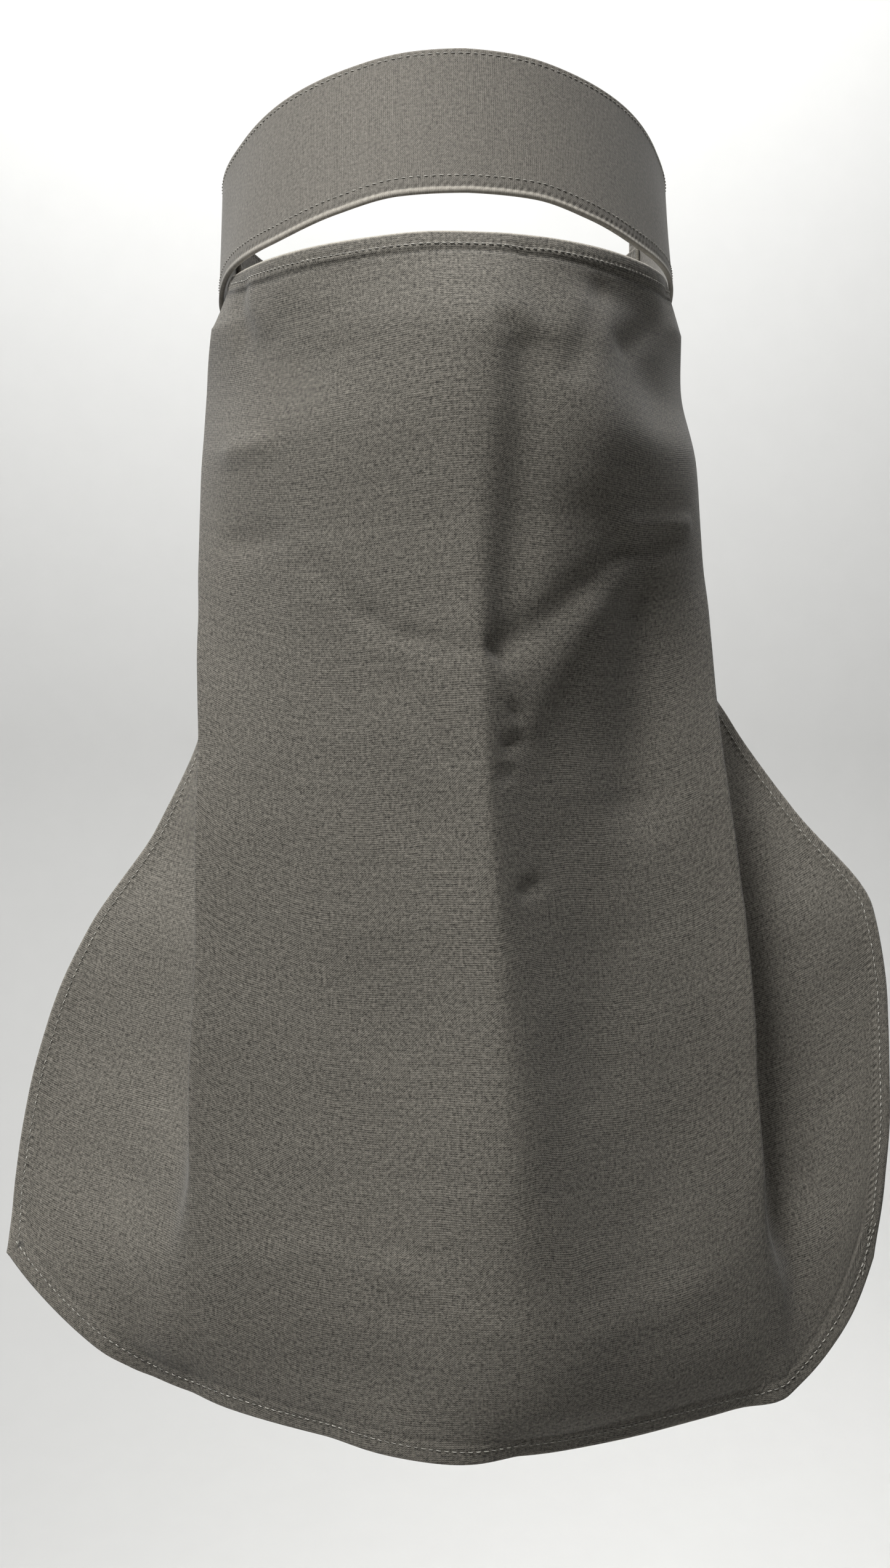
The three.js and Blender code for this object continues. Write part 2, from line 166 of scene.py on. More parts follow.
# Dents and soft ribs of the veil, each along a line. across is -1 at the left fold, 0 at the
# crease, 1 at the right fold and 2 at a side hem; down is the share of the drop; spread is in
# shares of the loop's half width and depth in shares of the dents' depth, a rib if below 0.
DENT_COLUMNS = ["fromAcross", "fromDown", "toAcross", "toDown", "spread", "depth"]
DENTS = table(
    DENT_COLUMNS,
    [
        [0.17, 0.10, 0.10, 0.33, 0.080, 1.20],
        [0.40, 0.06, 0.36, 0.20, 0.100, -0.70],
        [0.68, 0.12, 0.64, 0.30, 0.130, 0.60],
        [0.66, 0.30, 0.64, 0.47, 0.140, 1.20],
        [-0.86, 0.03, -0.72, 0.075, 0.080, 0.40],
        [-0.35, 0.62, -0.42, 0.88, 0.200, 0.40],
        [0.45, 0.60, 0.50, 0.93, 0.220, 0.50],
        [-1.45, 0.80, -1.25, 0.90, 0.100, -0.40],
        [1.40, 0.83, 1.35, 0.93, 0.100, 0.40],
        [-0.88, 0.97, -0.40, 0.94, 0.140, 1.60],
        [0.05, 1.00, 0.85, 1.00, 0.140, 0.90],
        [-1.30, 1.00, -1.00, 1.00, 0.100, 1.10],
    ],
)

# Fine folds, puckers and dimples of the cloth, as in the table of dents
FINE_FOLDS = table(
    DENT_COLUMNS,
    [
        [0.10, 0.345, 0.50, 0.258, 0.062, 0.65],
        [0.50, 0.256, 0.72, 0.247, 0.060, 0.30],
        [0.52, 0.236, 0.84, 0.228, 0.032, -0.42],
        [0.38, 0.315, 0.18, 0.395, 0.075, -0.50],
        [0.03, 0.342, 0.09, 0.350, 0.024, 0.50],
        [0.12, 0.391, 0.14, 0.396, 0.026, 0.55],
        [0.09, 0.420, 0.14, 0.414, 0.024, 0.50],
        [0.06, 0.444, 0.10, 0.441, 0.024, 0.30],
        [0.13, 0.537, 0.19, 0.532, 0.028, 0.45],
        [0.09, 0.080, 0.13, 0.080, 0.032, 0.35],
        [0.19, 0.015, 0.22, 0.070, 0.050, 0.30],
        [0.45, 0.035, 0.30, 0.115, 0.040, 0.40],
        [0.90, 0.015, 0.52, 0.083, 0.045, 0.45],
        [-0.50, 0.272, -0.34, 0.318, 0.042, 0.30],
        [-0.34, 0.318, -0.22, 0.334, 0.042, 0.28],
        [-0.22, 0.334, -0.04, 0.342, 0.038, 0.32],
        [-0.25, 0.370, -0.12, 0.430, 0.050, 0.24],
        [-0.80, 0.168, -0.68, 0.167, 0.050, -0.55],
        [-0.80, 0.250, -0.66, 0.248, 0.055, 0.40],
        [-0.86, 0.020, -0.78, 0.070, 0.035, 0.35],
        [-0.80, 0.020, -0.70, 0.060, 0.035, -0.25],
        [-0.62, 0.030, -0.50, 0.045, 0.060, -0.20],
        [-0.85, 0.872, -0.60, 0.848, 0.060, -0.16],
        [-0.60, 0.848, -0.35, 0.850, 0.060, -0.20],
        [-0.35, 0.850, -0.06, 0.885, 0.060, -0.24],
        [-1.68, 0.860, -1.30, 0.940, 0.050, -0.15],
        [-0.88, 0.970, -0.40, 0.940, 0.140, -1.00],
        [-1.15, 1.000, -0.55, 1.000, 0.120, 1.20],
        [0.05, 1.000, 0.92, 1.000, 0.130, 1.35],
        [0.30, 0.900, 0.75, 0.890, 0.090, -0.20],
        [1.55, 0.800, 1.70, 0.930, 0.260, -0.60],
    ],
)

# Grid lines from one share to the next and their counts, with more where cloth folds or is hemmed
VEIL_COLUMNS = [(0, 0.06, 8), (0.06, 0.9, 46), (0.9, 1.1, 20), (1.1, 1.9, 29), (1.9, 2, 9)]
VEIL_ROWS = [(0, 0.022, 10), (0.022, 0.97, 168), (0.97, 1, 11)]
BAND_COLUMNS = 321
BAND_ROWS = [(0, 0.1, 10), (0.1, 0.86, 26), (0.86, 1, 14)]
STRAP_COLUMNS = 121
STRAP_ROWS = [(0, 0.12, 8), (0.12, 0.88, 16), (0.88, 1, 8)]
CLOSURE_LINES = 41

# Where the grid has the inner line of each hem before it is moved to the hem's own width, the
# room that it gets as a share of that width, and the least and most that it may take
SIDE_LINE, BOTTOM_LINE, TOP_LINE = 0.07, 0.02, 0.018
HEM_ROOM = 1.3
SIDE_ROOM_LIMITS = (0.02, 0.2)
BOTTOM_ROOM_LIMITS = (0.005, 0.08)

# Crown of the sewn top hem, and how far below the band's edge it starts at the slit's corner
TOP_CROWN = 0.15
CORNER_STEP = 0.5 * MM

# Rounding of the side folds: how near a fold it acts, how wide it gets and where that begins
FOLD_NEARNESS = 0.2
OPEN_FOLD = 0.24
FOLD_OPENS = (0.74, 1.0)
FOLD_BLEND = {-1: 1, -0.67: 2, -0.33: 3, 0: 4, 0.33: 3, 0.67: 2, 1: 1}

# Unevenness of the veil: its seed, its waves and their lengths in mm
RIPPLE_SEED = 3
RIPPLE_COUNT = 16
RIPPLE_LENGTHS = (14, 60)
RIPPLE_MIDDLE = 37 * MM

# Share of its wall that the dressed band or strap keeps, and how far a rim bulges out
DRESSED = 0.9
RIM_BULGE = 0.8

# Distance of each stitch row from its edge, and of the groove that the veil's rows draw in
BAND_UPPER_ROW = 1.6 * MM
BAND_LOWER_ROW = 4.8 * MM
STRAP_ROW = 1.8 * MM
STRAP_ROW_PARTS = (0.06, 0.94)
VEIL_SIDE_ROW = 3.3 * MM
VEIL_BOTTOM_ROW = 4.1 * MM
VEIL_TOP_ROW = 4.2 * MM
VEIL_GROOVE = 4 * MM

# One stitch from end to end: place along it, thickness as a share of the thread's, and how its
# middle stands up and its ends dip into the cloth. Then how much stitches differ.
STITCH = table(
    ["along", "thick"],
    [[-1, 0.35], [-0.82, 0.8], [-0.4, 1], [0, 1], [0.4, 1], [0.82, 0.8], [1, 0.35]],
)
STITCH_CROWN = 0.95
STITCH_DIP = 1.7
STITCH_SLANT = (0.10, 0.05)
STITCH_LENGTHS = (0.88, 1.1)


# Sizes and colours


def length(name, description, default):
    return FloatProperty(
        name=name, description=description, default=default, min=0, precision=5, unit="LENGTH"
    )


def share(name, description, default):
    return FloatProperty(
        name=name, description=description, default=default, min=0, max=1, subtype="FACTOR"
    )


def degrees(name, description, default):
    description += ", in degrees"
    return FloatProperty(name=name, description=description, default=default, min=0, max=200)


def power(name, description, default):
    return FloatProperty(
        name=name, description=description, default=default, min=0, unit="POWER"
    )


def colour(name, description, default):
    return FloatVectorProperty(
        name=name, description=description, default=default, size=3, min=0, max=1, subtype="COLOR"
    )


class NiqabLoop(bpy.types.PropertyGroup):
    """Sizes of the head band and the back straps"""

    half_width: length("Half Width", "Half the breadth of the loop, outside", 79.5 * MM)
    half_depth: length("Half Depth", "From the loop's middle to its front, outside", -BAND_FRONT)
    band_height: length("Band Height", "Height of the band in front", 47.5 * MM)
    band_wall: length("Band Wall", "Thickness of the two sewn cloth layers", 1.8 * MM)
    band_end: degrees("Band End", "Angle from the front at which the band ends", 112)
    strap_height: length("Strap Height", "Height of the back straps", 30 * MM)
    strap_wall: length("Strap Wall", "Thickness of the back straps", 1.5 * MM)
    strap_lap: degrees("Strap Lap", "Angle over which a strap lies inside the band's end", 6)
    strap_overlap: degrees("Strap Overlap", "Angle by which a strap passes the back", 7)
    closure_wall: length("Closure Wall", "Thickness of the closure tape", 1.2 * MM)
    closure_half: degrees("Closure Half", "Half the angle that the tape covers", 5)
    closure_margin: length("Closure Margin", "From the strap's edge to the tape", 4 * MM)
    gap: length("Gap", "Clear gap between pieces that are sewn or pressed together", 0.3 * MM)


class NiqabVeil(bpy.types.PropertyGroup):
    """Sizes of the veil"""

    slit: length("Slit", "Height of the eye slit in the middle", 14.3 * MM)
    drop: length("Drop", "From the top hem to the bottom hem down the middle", 364 * MM)
    reach: length("Reach", "How far the veil stands in front of the loop's middle", 119 * MM)
    half_width: length("Half Width", "Half the breadth over the spread wings", 153 * MM)
    sewn_wall: length("Sewn Wall", "Room that the hem takes inside the band", 1.6 * MM)
    cloth: length("Cloth", "Thickness of the single cloth", 0.7 * MM)
    hem: length("Hem", "Thickness of the turned hem", 1.35 * MM)
    top_hem: length("Top Hem", "Width of the hem along the eye slit", 5 * MM)
    side_hem: length("Side Hem", "Width of the hems down the wings", 4 * MM)
    bottom_hem: length("Bottom Hem", "Width of the bottom hem", 5 * MM)
    dent: length("Dent", "Depth of a full dent", 2.5 * MM)
    ripple: length("Ripple", "Height of the cloth's faint unevenness", 0.25 * MM)
    fold_round: length("Fold Round", "Radius of the side folds where they hang crisp", 1.8 * MM)
    corner: degrees("Corner", "Angle at which the veil goes inside the band", 72)
    tuck: degrees("Tuck", "Angle at which its side hem meets the band", 102)
    tuck_lap: length("Tuck Lap", "How far the side hem laps up inside the band", 12 * MM)
    loosening: length("Loosening", "Drop in which the cloth swings free of the band", 16 * MM)
    flat_width: length("Flat Width", "Width of the cloth before it was hung", 385 * MM)
    flat_length: length("Flat Length", "Length of the cloth before it was hung", 391 * MM)
    flat_share: share("Flat Share", "Share of that rectangle that the cut leaves", 0.85)


class NiqabThread(bpy.types.PropertyGroup):
    """Sizes of the stitching"""

    pitch: length("Pitch", "From one stitch to the next", 2.3 * MM)
    stitch: length("Stitch", "Length of a stitch that shows", 1.55 * MM)
    radius: length("Radius", "Half the thickness of the thread", 0.17 * MM)
    sides: IntProperty(name="Sides", description="Sides of the thread", default=6, min=3)
    seed: IntProperty(name="Seed", description="Start of the random draws", default=7)


class NiqabLook(bpy.types.PropertyGroup):
    """Colours and weave"""

    veil: colour("Veil", "Colour of the veil's cloth", SLOT_COLOURS["veil_cloth"])
    # The band's colour is lighter than the veil's: partly painted light, as the band leans back and
    # faces up into the light, though it is most likely the same cloth
    band: colour("Band", "Colour of the band's cloth", SLOT_COLOURS["band_cloth"])
    strap: colour("Strap", "Colour of the straps' cloth", SLOT_COLOURS["strap_cloth"])
    tape: colour("Tape", "Colour of the closure tape", SLOT_COLOURS["closure_tape"])
    thread: colour("Thread", "Colour of the thread", (0.42, 0.405, 0.36))
    weft_pitch: length("Weft Pitch", "From one cross rib to the next", 0.66 * MM)
    warp_pitch: length("Warp Pitch", "From one slant to the next along a rib", 0.8 * MM)
    slub: share("Slub", "How uneven the threads are", 0.3)
    grain: share("Grain", "Strength of the fine specks in the cloth", 0.42)


class NiqabStage(bpy.types.PropertyGroup):
    """Stage, lights and camera"""

    pale: colour("Pale", "Colour of the floor and the backdrop", (0.56, 0.56, 0.55))
    below: length("Below", "From the veil's lowest point down to the floor", 0.45)
    behind: length("Behind", "From the loop's middle back to the backdrop", 1.5)
    bend: length("Bend", "Radius with which the floor turns up", 0.7)
    breadth: length("Breadth", "Half the breadth of the floor", 4.0)
    backdrop: length("Backdrop", "Height of the backdrop", 3.5)
    distance: length("Distance", "From the camera to the loop's middle, seen level", 0.640)
    turn: degrees("Turn", "Camera's turn to the left", 4)
    height: FloatProperty(
        name="Height", description="Camera's height above the origin", default=-0.189, unit="LENGTH"
    )
    focal: FloatProperty(
        name="Focal", description="Focal length", default=41.47, min=1, unit="CAMERA"
    )
    key: power("Key", "Power of the light from the upper left", 2.3)
    fill: power("Fill", "Power of the light from the right", 0.8)
    backdrop_light: power("Backdrop Light", "Power of the light on the backdrop", 62)
    sky: share("Sky", "Strength of the light from all around", 0.065)


SETTINGS = {
    "niqab_loop": NiqabLoop,
    "niqab_veil": NiqabVeil,
    "niqab_thread": NiqabThread,
    "niqab_look": NiqabLook,
    "niqab_stage": NiqabStage,
}


# Interpolation


def mix(a, b, part):
    return a + (b - a) * part


def smooth_step(start, end, value):
    part = np.clip((value - start) / (end - start), 0, 1)
    return part * part * (3 - 2 * part)


def track(rows, key, column, at):
    """Values of a column along the key, on a smooth curve that never overshoots its rows."""
    x = rows[key]
    y = rows[column]
    at = np.clip(at, x[0], x[-1])
    slope = np.diff(y) / np.diff(x)
    before = slope[:-1]
    after = slope[1:]
    same = before * after > 0
    inner = np.where(same, 2 * before * after / np.where(same, before + after, 1), 0)
    tangent = np.concatenate([slope[:1], inner, slope[-1:]])
    k = np.clip(np.searchsorted(x, at, side="right") - 1, 0, len(x) - 2)
    width = x[k + 1] - x[k]
    t = (at - x[k]) / width
    start = y[k] * (1 + 2 * t) * (1 - t) ** 2
    end = y[k + 1] * t * t * (3 - 2 * t)
    leave = tangent[k] * width * t * (1 - t) ** 2
    arrive = tangent[k + 1] * width * t * t * (t - 1)
    return start + end + leave + arrive


def unit(vectors):
    size = np.linalg.norm(vectors, axis=-1, keepdims=True)
    return vectors / np.maximum(size, 1e-12)


def lift(plan, height):
    """Plan places with a height each."""
    return np.concatenate([plan, np.broadcast_to(height, plan.shape[:-1])[..., None]], -1)


def graded(stops):
    """Grid lines over stretches that each have their own count."""
    parts = [np.linspace(start, end, count + 1)[1:] for start, end, count in stops]
    return np.concatenate([[stops[0][0]], *parts])


# The head loop


def ring(loop, angle, inset):
    """Plan of the head loop at an angle from the front, a little inside its outer face."""
    turn = np.radians(angle)
    normal = unit(np.stack([np.sin(turn) / loop.half_width, -np.cos(turn) / loop.half_depth], -1))
    outside = np.stack([loop.half_width * np.sin(turn), -loop.half_depth * np.cos(turn)], -1)
    return outside - np.asarray(inset)[..., None] * normal


def band_edge(loop, column, angle):
    return loop.band_height * track(BAND_EDGE, "angle", column, np.abs(angle))


def band_place(loop, angle, part):
    """Middle of the band's wall: part is 0 at the upper edge and 1 at the lower one."""
    height = mix(band_edge(loop, "upper", angle), band_edge(loop, "lower", angle), part)
    lean = track(BAND_EDGE, "angle", "lean", np.abs(angle)) * (1 - part)
    return lift(ring(loop, angle, loop.band_wall / 2) * (1 - lean)[..., None], height)


def strap_insets(loop, side):
    """Depth of a strap's middle inside the loop's outer face, at the band and at the back."""
    at_band = loop.band_wall + loop.gap + loop.strap_wall / 2
    if side > 0:
        return at_band, loop.strap_wall / 2
    return at_band, loop.strap_wall * 1.5 + loop.closure_wall + 2 * loop.gap


def strap_place(loop, side, angle, part):
    at_band, at_back = strap_insets(loop, side)
    settle = smooth_step(loop.band_end, 180 - loop.strap_overlap, angle)
    middle = loop.band_height * track(STRAP_LINE, "angle", "middle", angle)
    height = middle + loop.strap_height * (0.5 - part)
    return lift(ring(loop, side * angle, mix(at_band, at_back, settle)), height)


def closure_place(loop, angle, part):
    pad_height = loop.strap_height - 2 * loop.closure_margin
    middle = loop.band_height * track(STRAP_LINE, "angle", "middle", 180)
    inset = loop.strap_wall + loop.gap + loop.closure_wall / 2
    return lift(ring(loop, angle, inset), middle + pad_height * (0.5 - part))


# The veil


def veil_top(loop, veil):
    return loop.band_height * BAND_EDGE["lower"][0] - veil.slit


def middle_plan(loop, veil, down):
    across = loop.half_width * track(MIDDLE, "down", "across", down)
    forward = veil.reach * track(MIDDLE, "down", "forward", down)
    return np.stack([across, -forward], -1)


def sewn_section(loop, veil, side):
    """Plan of the top hem on one side, whose side stretch runs inside the band."""
    inset = loop.band_wall + loop.gap + veil.sewn_wall / 2
    angles = np.linspace(veil.corner, veil.tuck, 4)
    fold, back, wing, hem = ring(loop, side * angles, inset)
    crown = loop.half_width * TOP_CROWN
    return {"crown": crown, "fold": fold, "back": back, "wing": wing, "hem": hem}


def hung_section(loop, veil, side, down):
    """Plan of the hanging cloth at one level, on one side."""
    rows = LEFT_SIDE if side < 0 else RIGHT_SIDE
    spread = veil.half_width - loop.half_width

    def at(out, forward):
        return np.stack([side * out, -veil.reach * track(rows, "down", forward, down)], -1)

    def near(column):
        return loop.half_width * track(rows, "down", column, down)

    def wide(column):
        return loop.half_width + spread * track(rows, "down", column, down)

    return {
        "crown": near("crown"),
        "fold": at(near("foldOut"), "foldForward"),
        "back": at(near("backOut"), "backForward"),
        "wing": at(wide("wingOut"), "wingForward"),
        "hem": at(wide("hemOut"), "hemForward"),
    }


def plan_place(loop, veil, section, side, away, down):
    """Place in plan along a section: away is 0 at the crease, 1 at the fold, 2 at the side hem."""
    t = np.clip(away - 1, 0, 1)[..., None]
    behind = (
        section["fold"] * (1 - t) ** 3
        + section["back"] * 3 * t * (1 - t) ** 2
        + section["wing"] * 3 * t * t * (1 - t)
        + section["hem"] * t ** 3
    )
    middle = middle_plan(loop, veil, down)
    roundness = track(MIDDLE, "down", "roundness", down)
    near = np.minimum(away, 1)
    turned = (np.hypot(near, roundness) - roundness) / (np.hypot(1, roundness) - roundness)
    chord = section["fold"] - middle
    outward = unit(np.stack([side * chord[..., 1], -side * chord[..., 0]], -1))
    crown = section["crown"] * 4 * turned * (1 - turned)
    panel = middle + chord * np.stack([near, turned], -1) + outward * crown[..., None]
    return np.where(away[..., None] > 1, behind, panel)


def side_height(loop, veil, side, away, down):
    """Height along a section: from the crease up to the fold, and on up to the side hem."""
    rows = LEFT_SIDE if side < 0 else RIGHT_SIDE
    top = veil_top(loop, veil)
    hanging = smooth_step(0, veil.loosening, veil.drop * down)
    fold_hung = top - veil.drop * track(rows, "down", "foldDown", down)
    hem_hung = top - veil.drop * track(rows, "down", "hemDown", down)
    fold_sewn = band_edge(loop, "lower", veil.corner) - CORNER_STEP
    hem_sewn = band_edge(loop, "lower", veil.tuck) + veil.tuck_lap
    fold = mix(fold_sewn, fold_hung, hanging)
    hem = mix(hem_sewn, hem_hung, hanging)
    rise = np.minimum(away, 1) ** track(MIDDLE, "down", "rise", down)
    even, power = UPTURN[side]
    beyond = np.maximum(away - 1, 0)
    climbed = mix(beyond**power, beyond, even)
    middle = top - veil.drop * down
    return np.where(away > 1, mix(fold, hem, climbed), mix(middle, fold, rise))


def side_drape(loop, veil, side, away, down):
    tucked = np.maximum(0, away - 1) * veil.tuck_lap + loop.gap
    loosened = smooth_step(tucked, tucked + veil.loosening, veil.drop * down)[..., None]
    sewn = plan_place(loop, veil, sewn_section(loop, veil, side), side, away, down)
    hung = plan_place(loop, veil, hung_section(loop, veil, side, down), side, away, down)
    return lift(mix(sewn, hung, loosened), side_height(loop, veil, side, away, down))


def drape(loop, veil, across, down):
    """The veil's smooth form: inside the band to the band's lower edge, then hanging free."""
    places = np.empty(across.shape + (3,))
    for side in (-1, 1):
        here = across * side >= 0
        places[here] = side_drape(loop, veil, side, np.abs(across[here]), down[here])
    return places


def rounded_drape(loop, veil, across, down):
    """The drape with its side folds rounded: crisp above, opening out towards the hem."""
    crisp = veil.fold_round / loop.half_width
    near_fold = np.exp(-(((np.abs(across) - 1) / FOLD_NEARNESS) ** 4))
    reach = near_fold * mix(crisp, OPEN_FOLD, smooth_step(*FOLD_OPENS, down))
    total = np.zeros(across.shape + (3,))
    for step, weight in FOLD_BLEND.items():
        moved = np.clip(across + step * reach, -2, 2)
        total += weight * drape(loop, veil, moved, down)
    return total / sum(FOLD_BLEND.values())


def along_lines(rows, loop, veil, across, down):
    """Sum of the soft dents of a table, each fading out from its own line."""
    depth = np.zeros(across.shape)
    place = np.stack([across * loop.half_width, down * veil.drop], -1)
    scale = np.array([loop.half_width, veil.drop])
    for k in range(len(rows["depth"])):
        start = np.array([rows["fromAcross"][k], rows["fromDown"][k]]) * scale
        line = np.array([rows["toAcross"][k], rows["toDown"][k]]) * scale - start
        part = np.clip((place - start) @ line / (line @ line), 0, 1)
        away = np.linalg.norm(place - start - part[..., None] * line, axis=-1)
        depth += rows["depth"][k] * np.exp(-((away / (rows["spread"][k] * loop.half_width)) ** 2))
    return depth


def ripples(across, down):
    """Faint unevenness between -1 and 1: waves of many lengths in seeded directions."""
    draws = np.random.default_rng(RIPPLE_SEED)
    total = np.zeros(across.shape)
    for _ in range(RIPPLE_COUNT):
        wavelength = draws.uniform(*RIPPLE_LENGTHS) * MM
        heading = draws.uniform(0, np.pi)
        phase = draws.uniform(0, 2 * np.pi)
        along = across * np.cos(heading) + down * np.sin(heading)
        total += np.sin(2 * np.pi * along / wavelength + phase) * wavelength / RIPPLE_MIDDLE
    return total / np.sqrt(RIPPLE_COUNT)


def veil_place(loop, veil, across, down):
    """Middle of the veil's cloth, with its dents and ripples."""
    reach = 0.02
    row = rounded_drape(loop, veil, np.minimum(across + reach, 2), down)
    row -= rounded_drape(loop, veil, np.maximum(across - reach, -2), down)
    column = rounded_drape(loop, veil, across, np.minimum(down + reach, 1))
    column -= rounded_drape(loop, veil, across, np.maximum(down - reach, 0))
    outward = unit(np.cross(column, row))
    relief = -veil.dent * along_lines(DENTS, loop, veil, across, down)
    relief -= veil.dent * along_lines(FINE_FOLDS, loop, veil, across, down)
    relief += veil.ripple * ripples(across * loop.half_width, down * veil.drop)
    free = smooth_step(0, veil.loosening, veil.drop * down)
    relief *= np.where(np.abs(across) > 1, free, 1)
    return rounded_drape(loop, veil, across, down) + outward * relief[..., None]


def hem_scale(loop, veil, across, down, edge):
    """Metres at right angles to a hem for each unit of across or down, at places on that hem."""
    reach = 0.01
    row = drape(loop, veil, np.clip(across + reach, -2, 2), down)
    row -= drape(loop, veil, np.clip(across - reach, -2, 2), down)
    column = drape(loop, veil, across, np.clip(down + reach, 0, 1))
    column -= drape(loop, veil, across, np.clip(down - reach, 0, 1))
    row /= (np.clip(across + reach, -2, 2) - np.clip(across - reach, -2, 2))[..., None]
    column /= (np.clip(down + reach, 0, 1) - np.clip(down - reach, 0, 1))[..., None]
    area = np.linalg.norm(np.cross(column, row), axis=-1)
    along = column if edge == "side" else row
    return area / np.maximum(np.linalg.norm(along, axis=-1), 1e-9)


def shifted(offset, nominal, real):
    """An offset from a hem, where what was at the nominal one now lies at the real one."""
    outer = offset * real / nominal
    inner = real + (offset - nominal) * (1 - real) / (1 - nominal)
    return np.where(offset < nominal, outer, inner)


def veil_grid(loop, veil):
    """Grid of across and down whose outer lines keep the hems' widths all the way along."""
    half = graded(VEIL_COLUMNS)
    columns = np.concatenate([-half[:0:-1], half])
    across, down = np.meshgrid(columns, graded(VEIL_ROWS))
    side = np.where(across < 0, -2.0, 2.0)
    room = HEM_ROOM * veil.side_hem / hem_scale(loop, veil, side, down, "side")
    offset = shifted(2 - np.abs(across), SIDE_LINE, np.clip(room, *SIDE_ROOM_LIMITS))
    across = np.where(np.abs(across) > 1, np.sign(across) * (2 - offset), across)
    scale = hem_scale(loop, veil, across, np.ones_like(down), "bottom")
    room = HEM_ROOM * veil.bottom_hem / scale
    down = 1 - shifted(1 - down, BOTTOM_LINE, np.clip(room, *BOTTOM_ROOM_LIMITS))
    return across, shifted(down, TOP_LINE, HEM_ROOM * veil.top_hem / veil.drop)


# Cloth as a closed wall


def rim_walk(rows, columns):
    """Grid numbers round the rim: down the left, along the bottom, up the right and back."""
    grid = np.arange(rows * columns).reshape(rows, columns)
    return np.concatenate([grid[:-1, 0], grid[-1, :-1], grid[:0:-1, -1], grid[0, :0:-1]])


def grid_steps(middle):
    row = np.gradient(middle, axis=1)
    column = np.gradient(middle, axis=0)
    return row, column


def flat_place(middle):
    """How far each place is along its row from the row's middle, and down its column."""
    steps = np.linalg.norm(np.diff(middle, axis=1), axis=-1)
    along = np.concatenate([np.zeros((len(middle), 1)), np.cumsum(steps, 1)], 1)
    falls = np.linalg.norm(np.diff(middle, axis=0), axis=-1)
    down = np.concatenate([np.zeros((1, middle.shape[1])), np.cumsum(falls, 0)], 0)
    return along, down


def hem_place(middle):
    """Distance along the nearest edge and from it, for each place of the grid."""
    along, down = flat_place(middle)
    row, column = grid_steps(middle)
    skew = np.linalg.norm(np.cross(unit(row), unit(column)), axis=-1)
    to_edges = np.stack([along, along[:, -1:] - along, down, down[-1:] - down]) * skew
    nearest = to_edges.argmin(0)
    return np.where(nearest < 2, down, along), to_edges.min(0), nearest


def cloth_wall(name, middle, thickness, material, edge_highlight=(0.3, 0.3, 0.3, 0.3)):
    """Cloth as a closed wall with a rounded rim, over a grid of places down its middle.

    edge_highlight is the painted highlight along its left, right, upper and lower edge: how much
    paler the cloth is painted there, at each place.
    """
    rows, columns = middle.shape[:2]
    row, column = grid_steps(middle)
    normal = unit(np.cross(column, row))
    half = np.broadcast_to(thickness, middle.shape[:2])[..., None] / 2
    rim = rim_walk(rows, columns)
    i, j = rim % columns, rim // columns
    inner = np.clip(j, 1, rows - 2), np.clip(i, 1, columns - 2)
    outward = unit(middle[j, i] - middle[inner])
    bulge = middle[j, i] + outward * half[j, i] * RIM_BULGE
    front = (middle + normal * half).reshape(-1, 3)
    back = (middle - normal * half).reshape(-1, 3)
    count = rows * columns
    corners = np.concatenate([front, back, bulge])

    grid = np.arange(count).reshape(rows, columns)
    quads = np.stack([grid[:-1, :-1], grid[1:, :-1], grid[1:, 1:], grid[:-1, 1:]], -1)
    quads = quads.reshape(-1, 4)
    following = np.roll(np.arange(len(rim)), -1)
    edge = 2 * count + np.arange(len(rim))
    outer = np.stack([rim[following], rim, edge, edge[following]], -1)
    inward = np.stack([edge[following], edge, rim + count, rim[following] + count], -1)
    faces = np.concatenate([quads, quads[:, ::-1] + count, outer, inward])

    piece = mesh_piece(name, corners, faces.tolist(), material)
    along, down = flat_place(middle)
    along = along - along[:, columns // 2][:, None]
    hem_along, hem_distance, nearest = hem_place(middle)
    flat = np.stack([along, down, np.zeros_like(down)], -1).reshape(-1, 3)
    # The third value of hem_place is the painted edge highlight of the nearest edge
    hem = np.stack([hem_along, hem_distance, np.choose(nearest, edge_highlight)], -1).reshape(-1, 3)
    for key, values in (("cloth_place", flat), ("hem_place", hem)):
        lasting = np.concatenate([values, values, values[rim]])
        attribute = piece.data.attributes.new(key, "FLOAT_VECTOR", "POINT")
        attribute.data.foreach_set("vector", lasting.astype(np.float32).ravel())
    return piece


def mesh_piece(name, corners, faces, material):
    """A new object made of corners and faces, with one material and smooth shading."""
    mesh = bpy.data.meshes.new(name)
    mesh.from_pydata(corners.tolist(), [], faces)
    mesh.validate()
    mesh.shade_smooth()
    mesh.materials.append(material)
    piece = bpy.data.objects.new(name, mesh)
    bpy.context.scene.collection.objects.link(piece)
    return piece


# Stitching


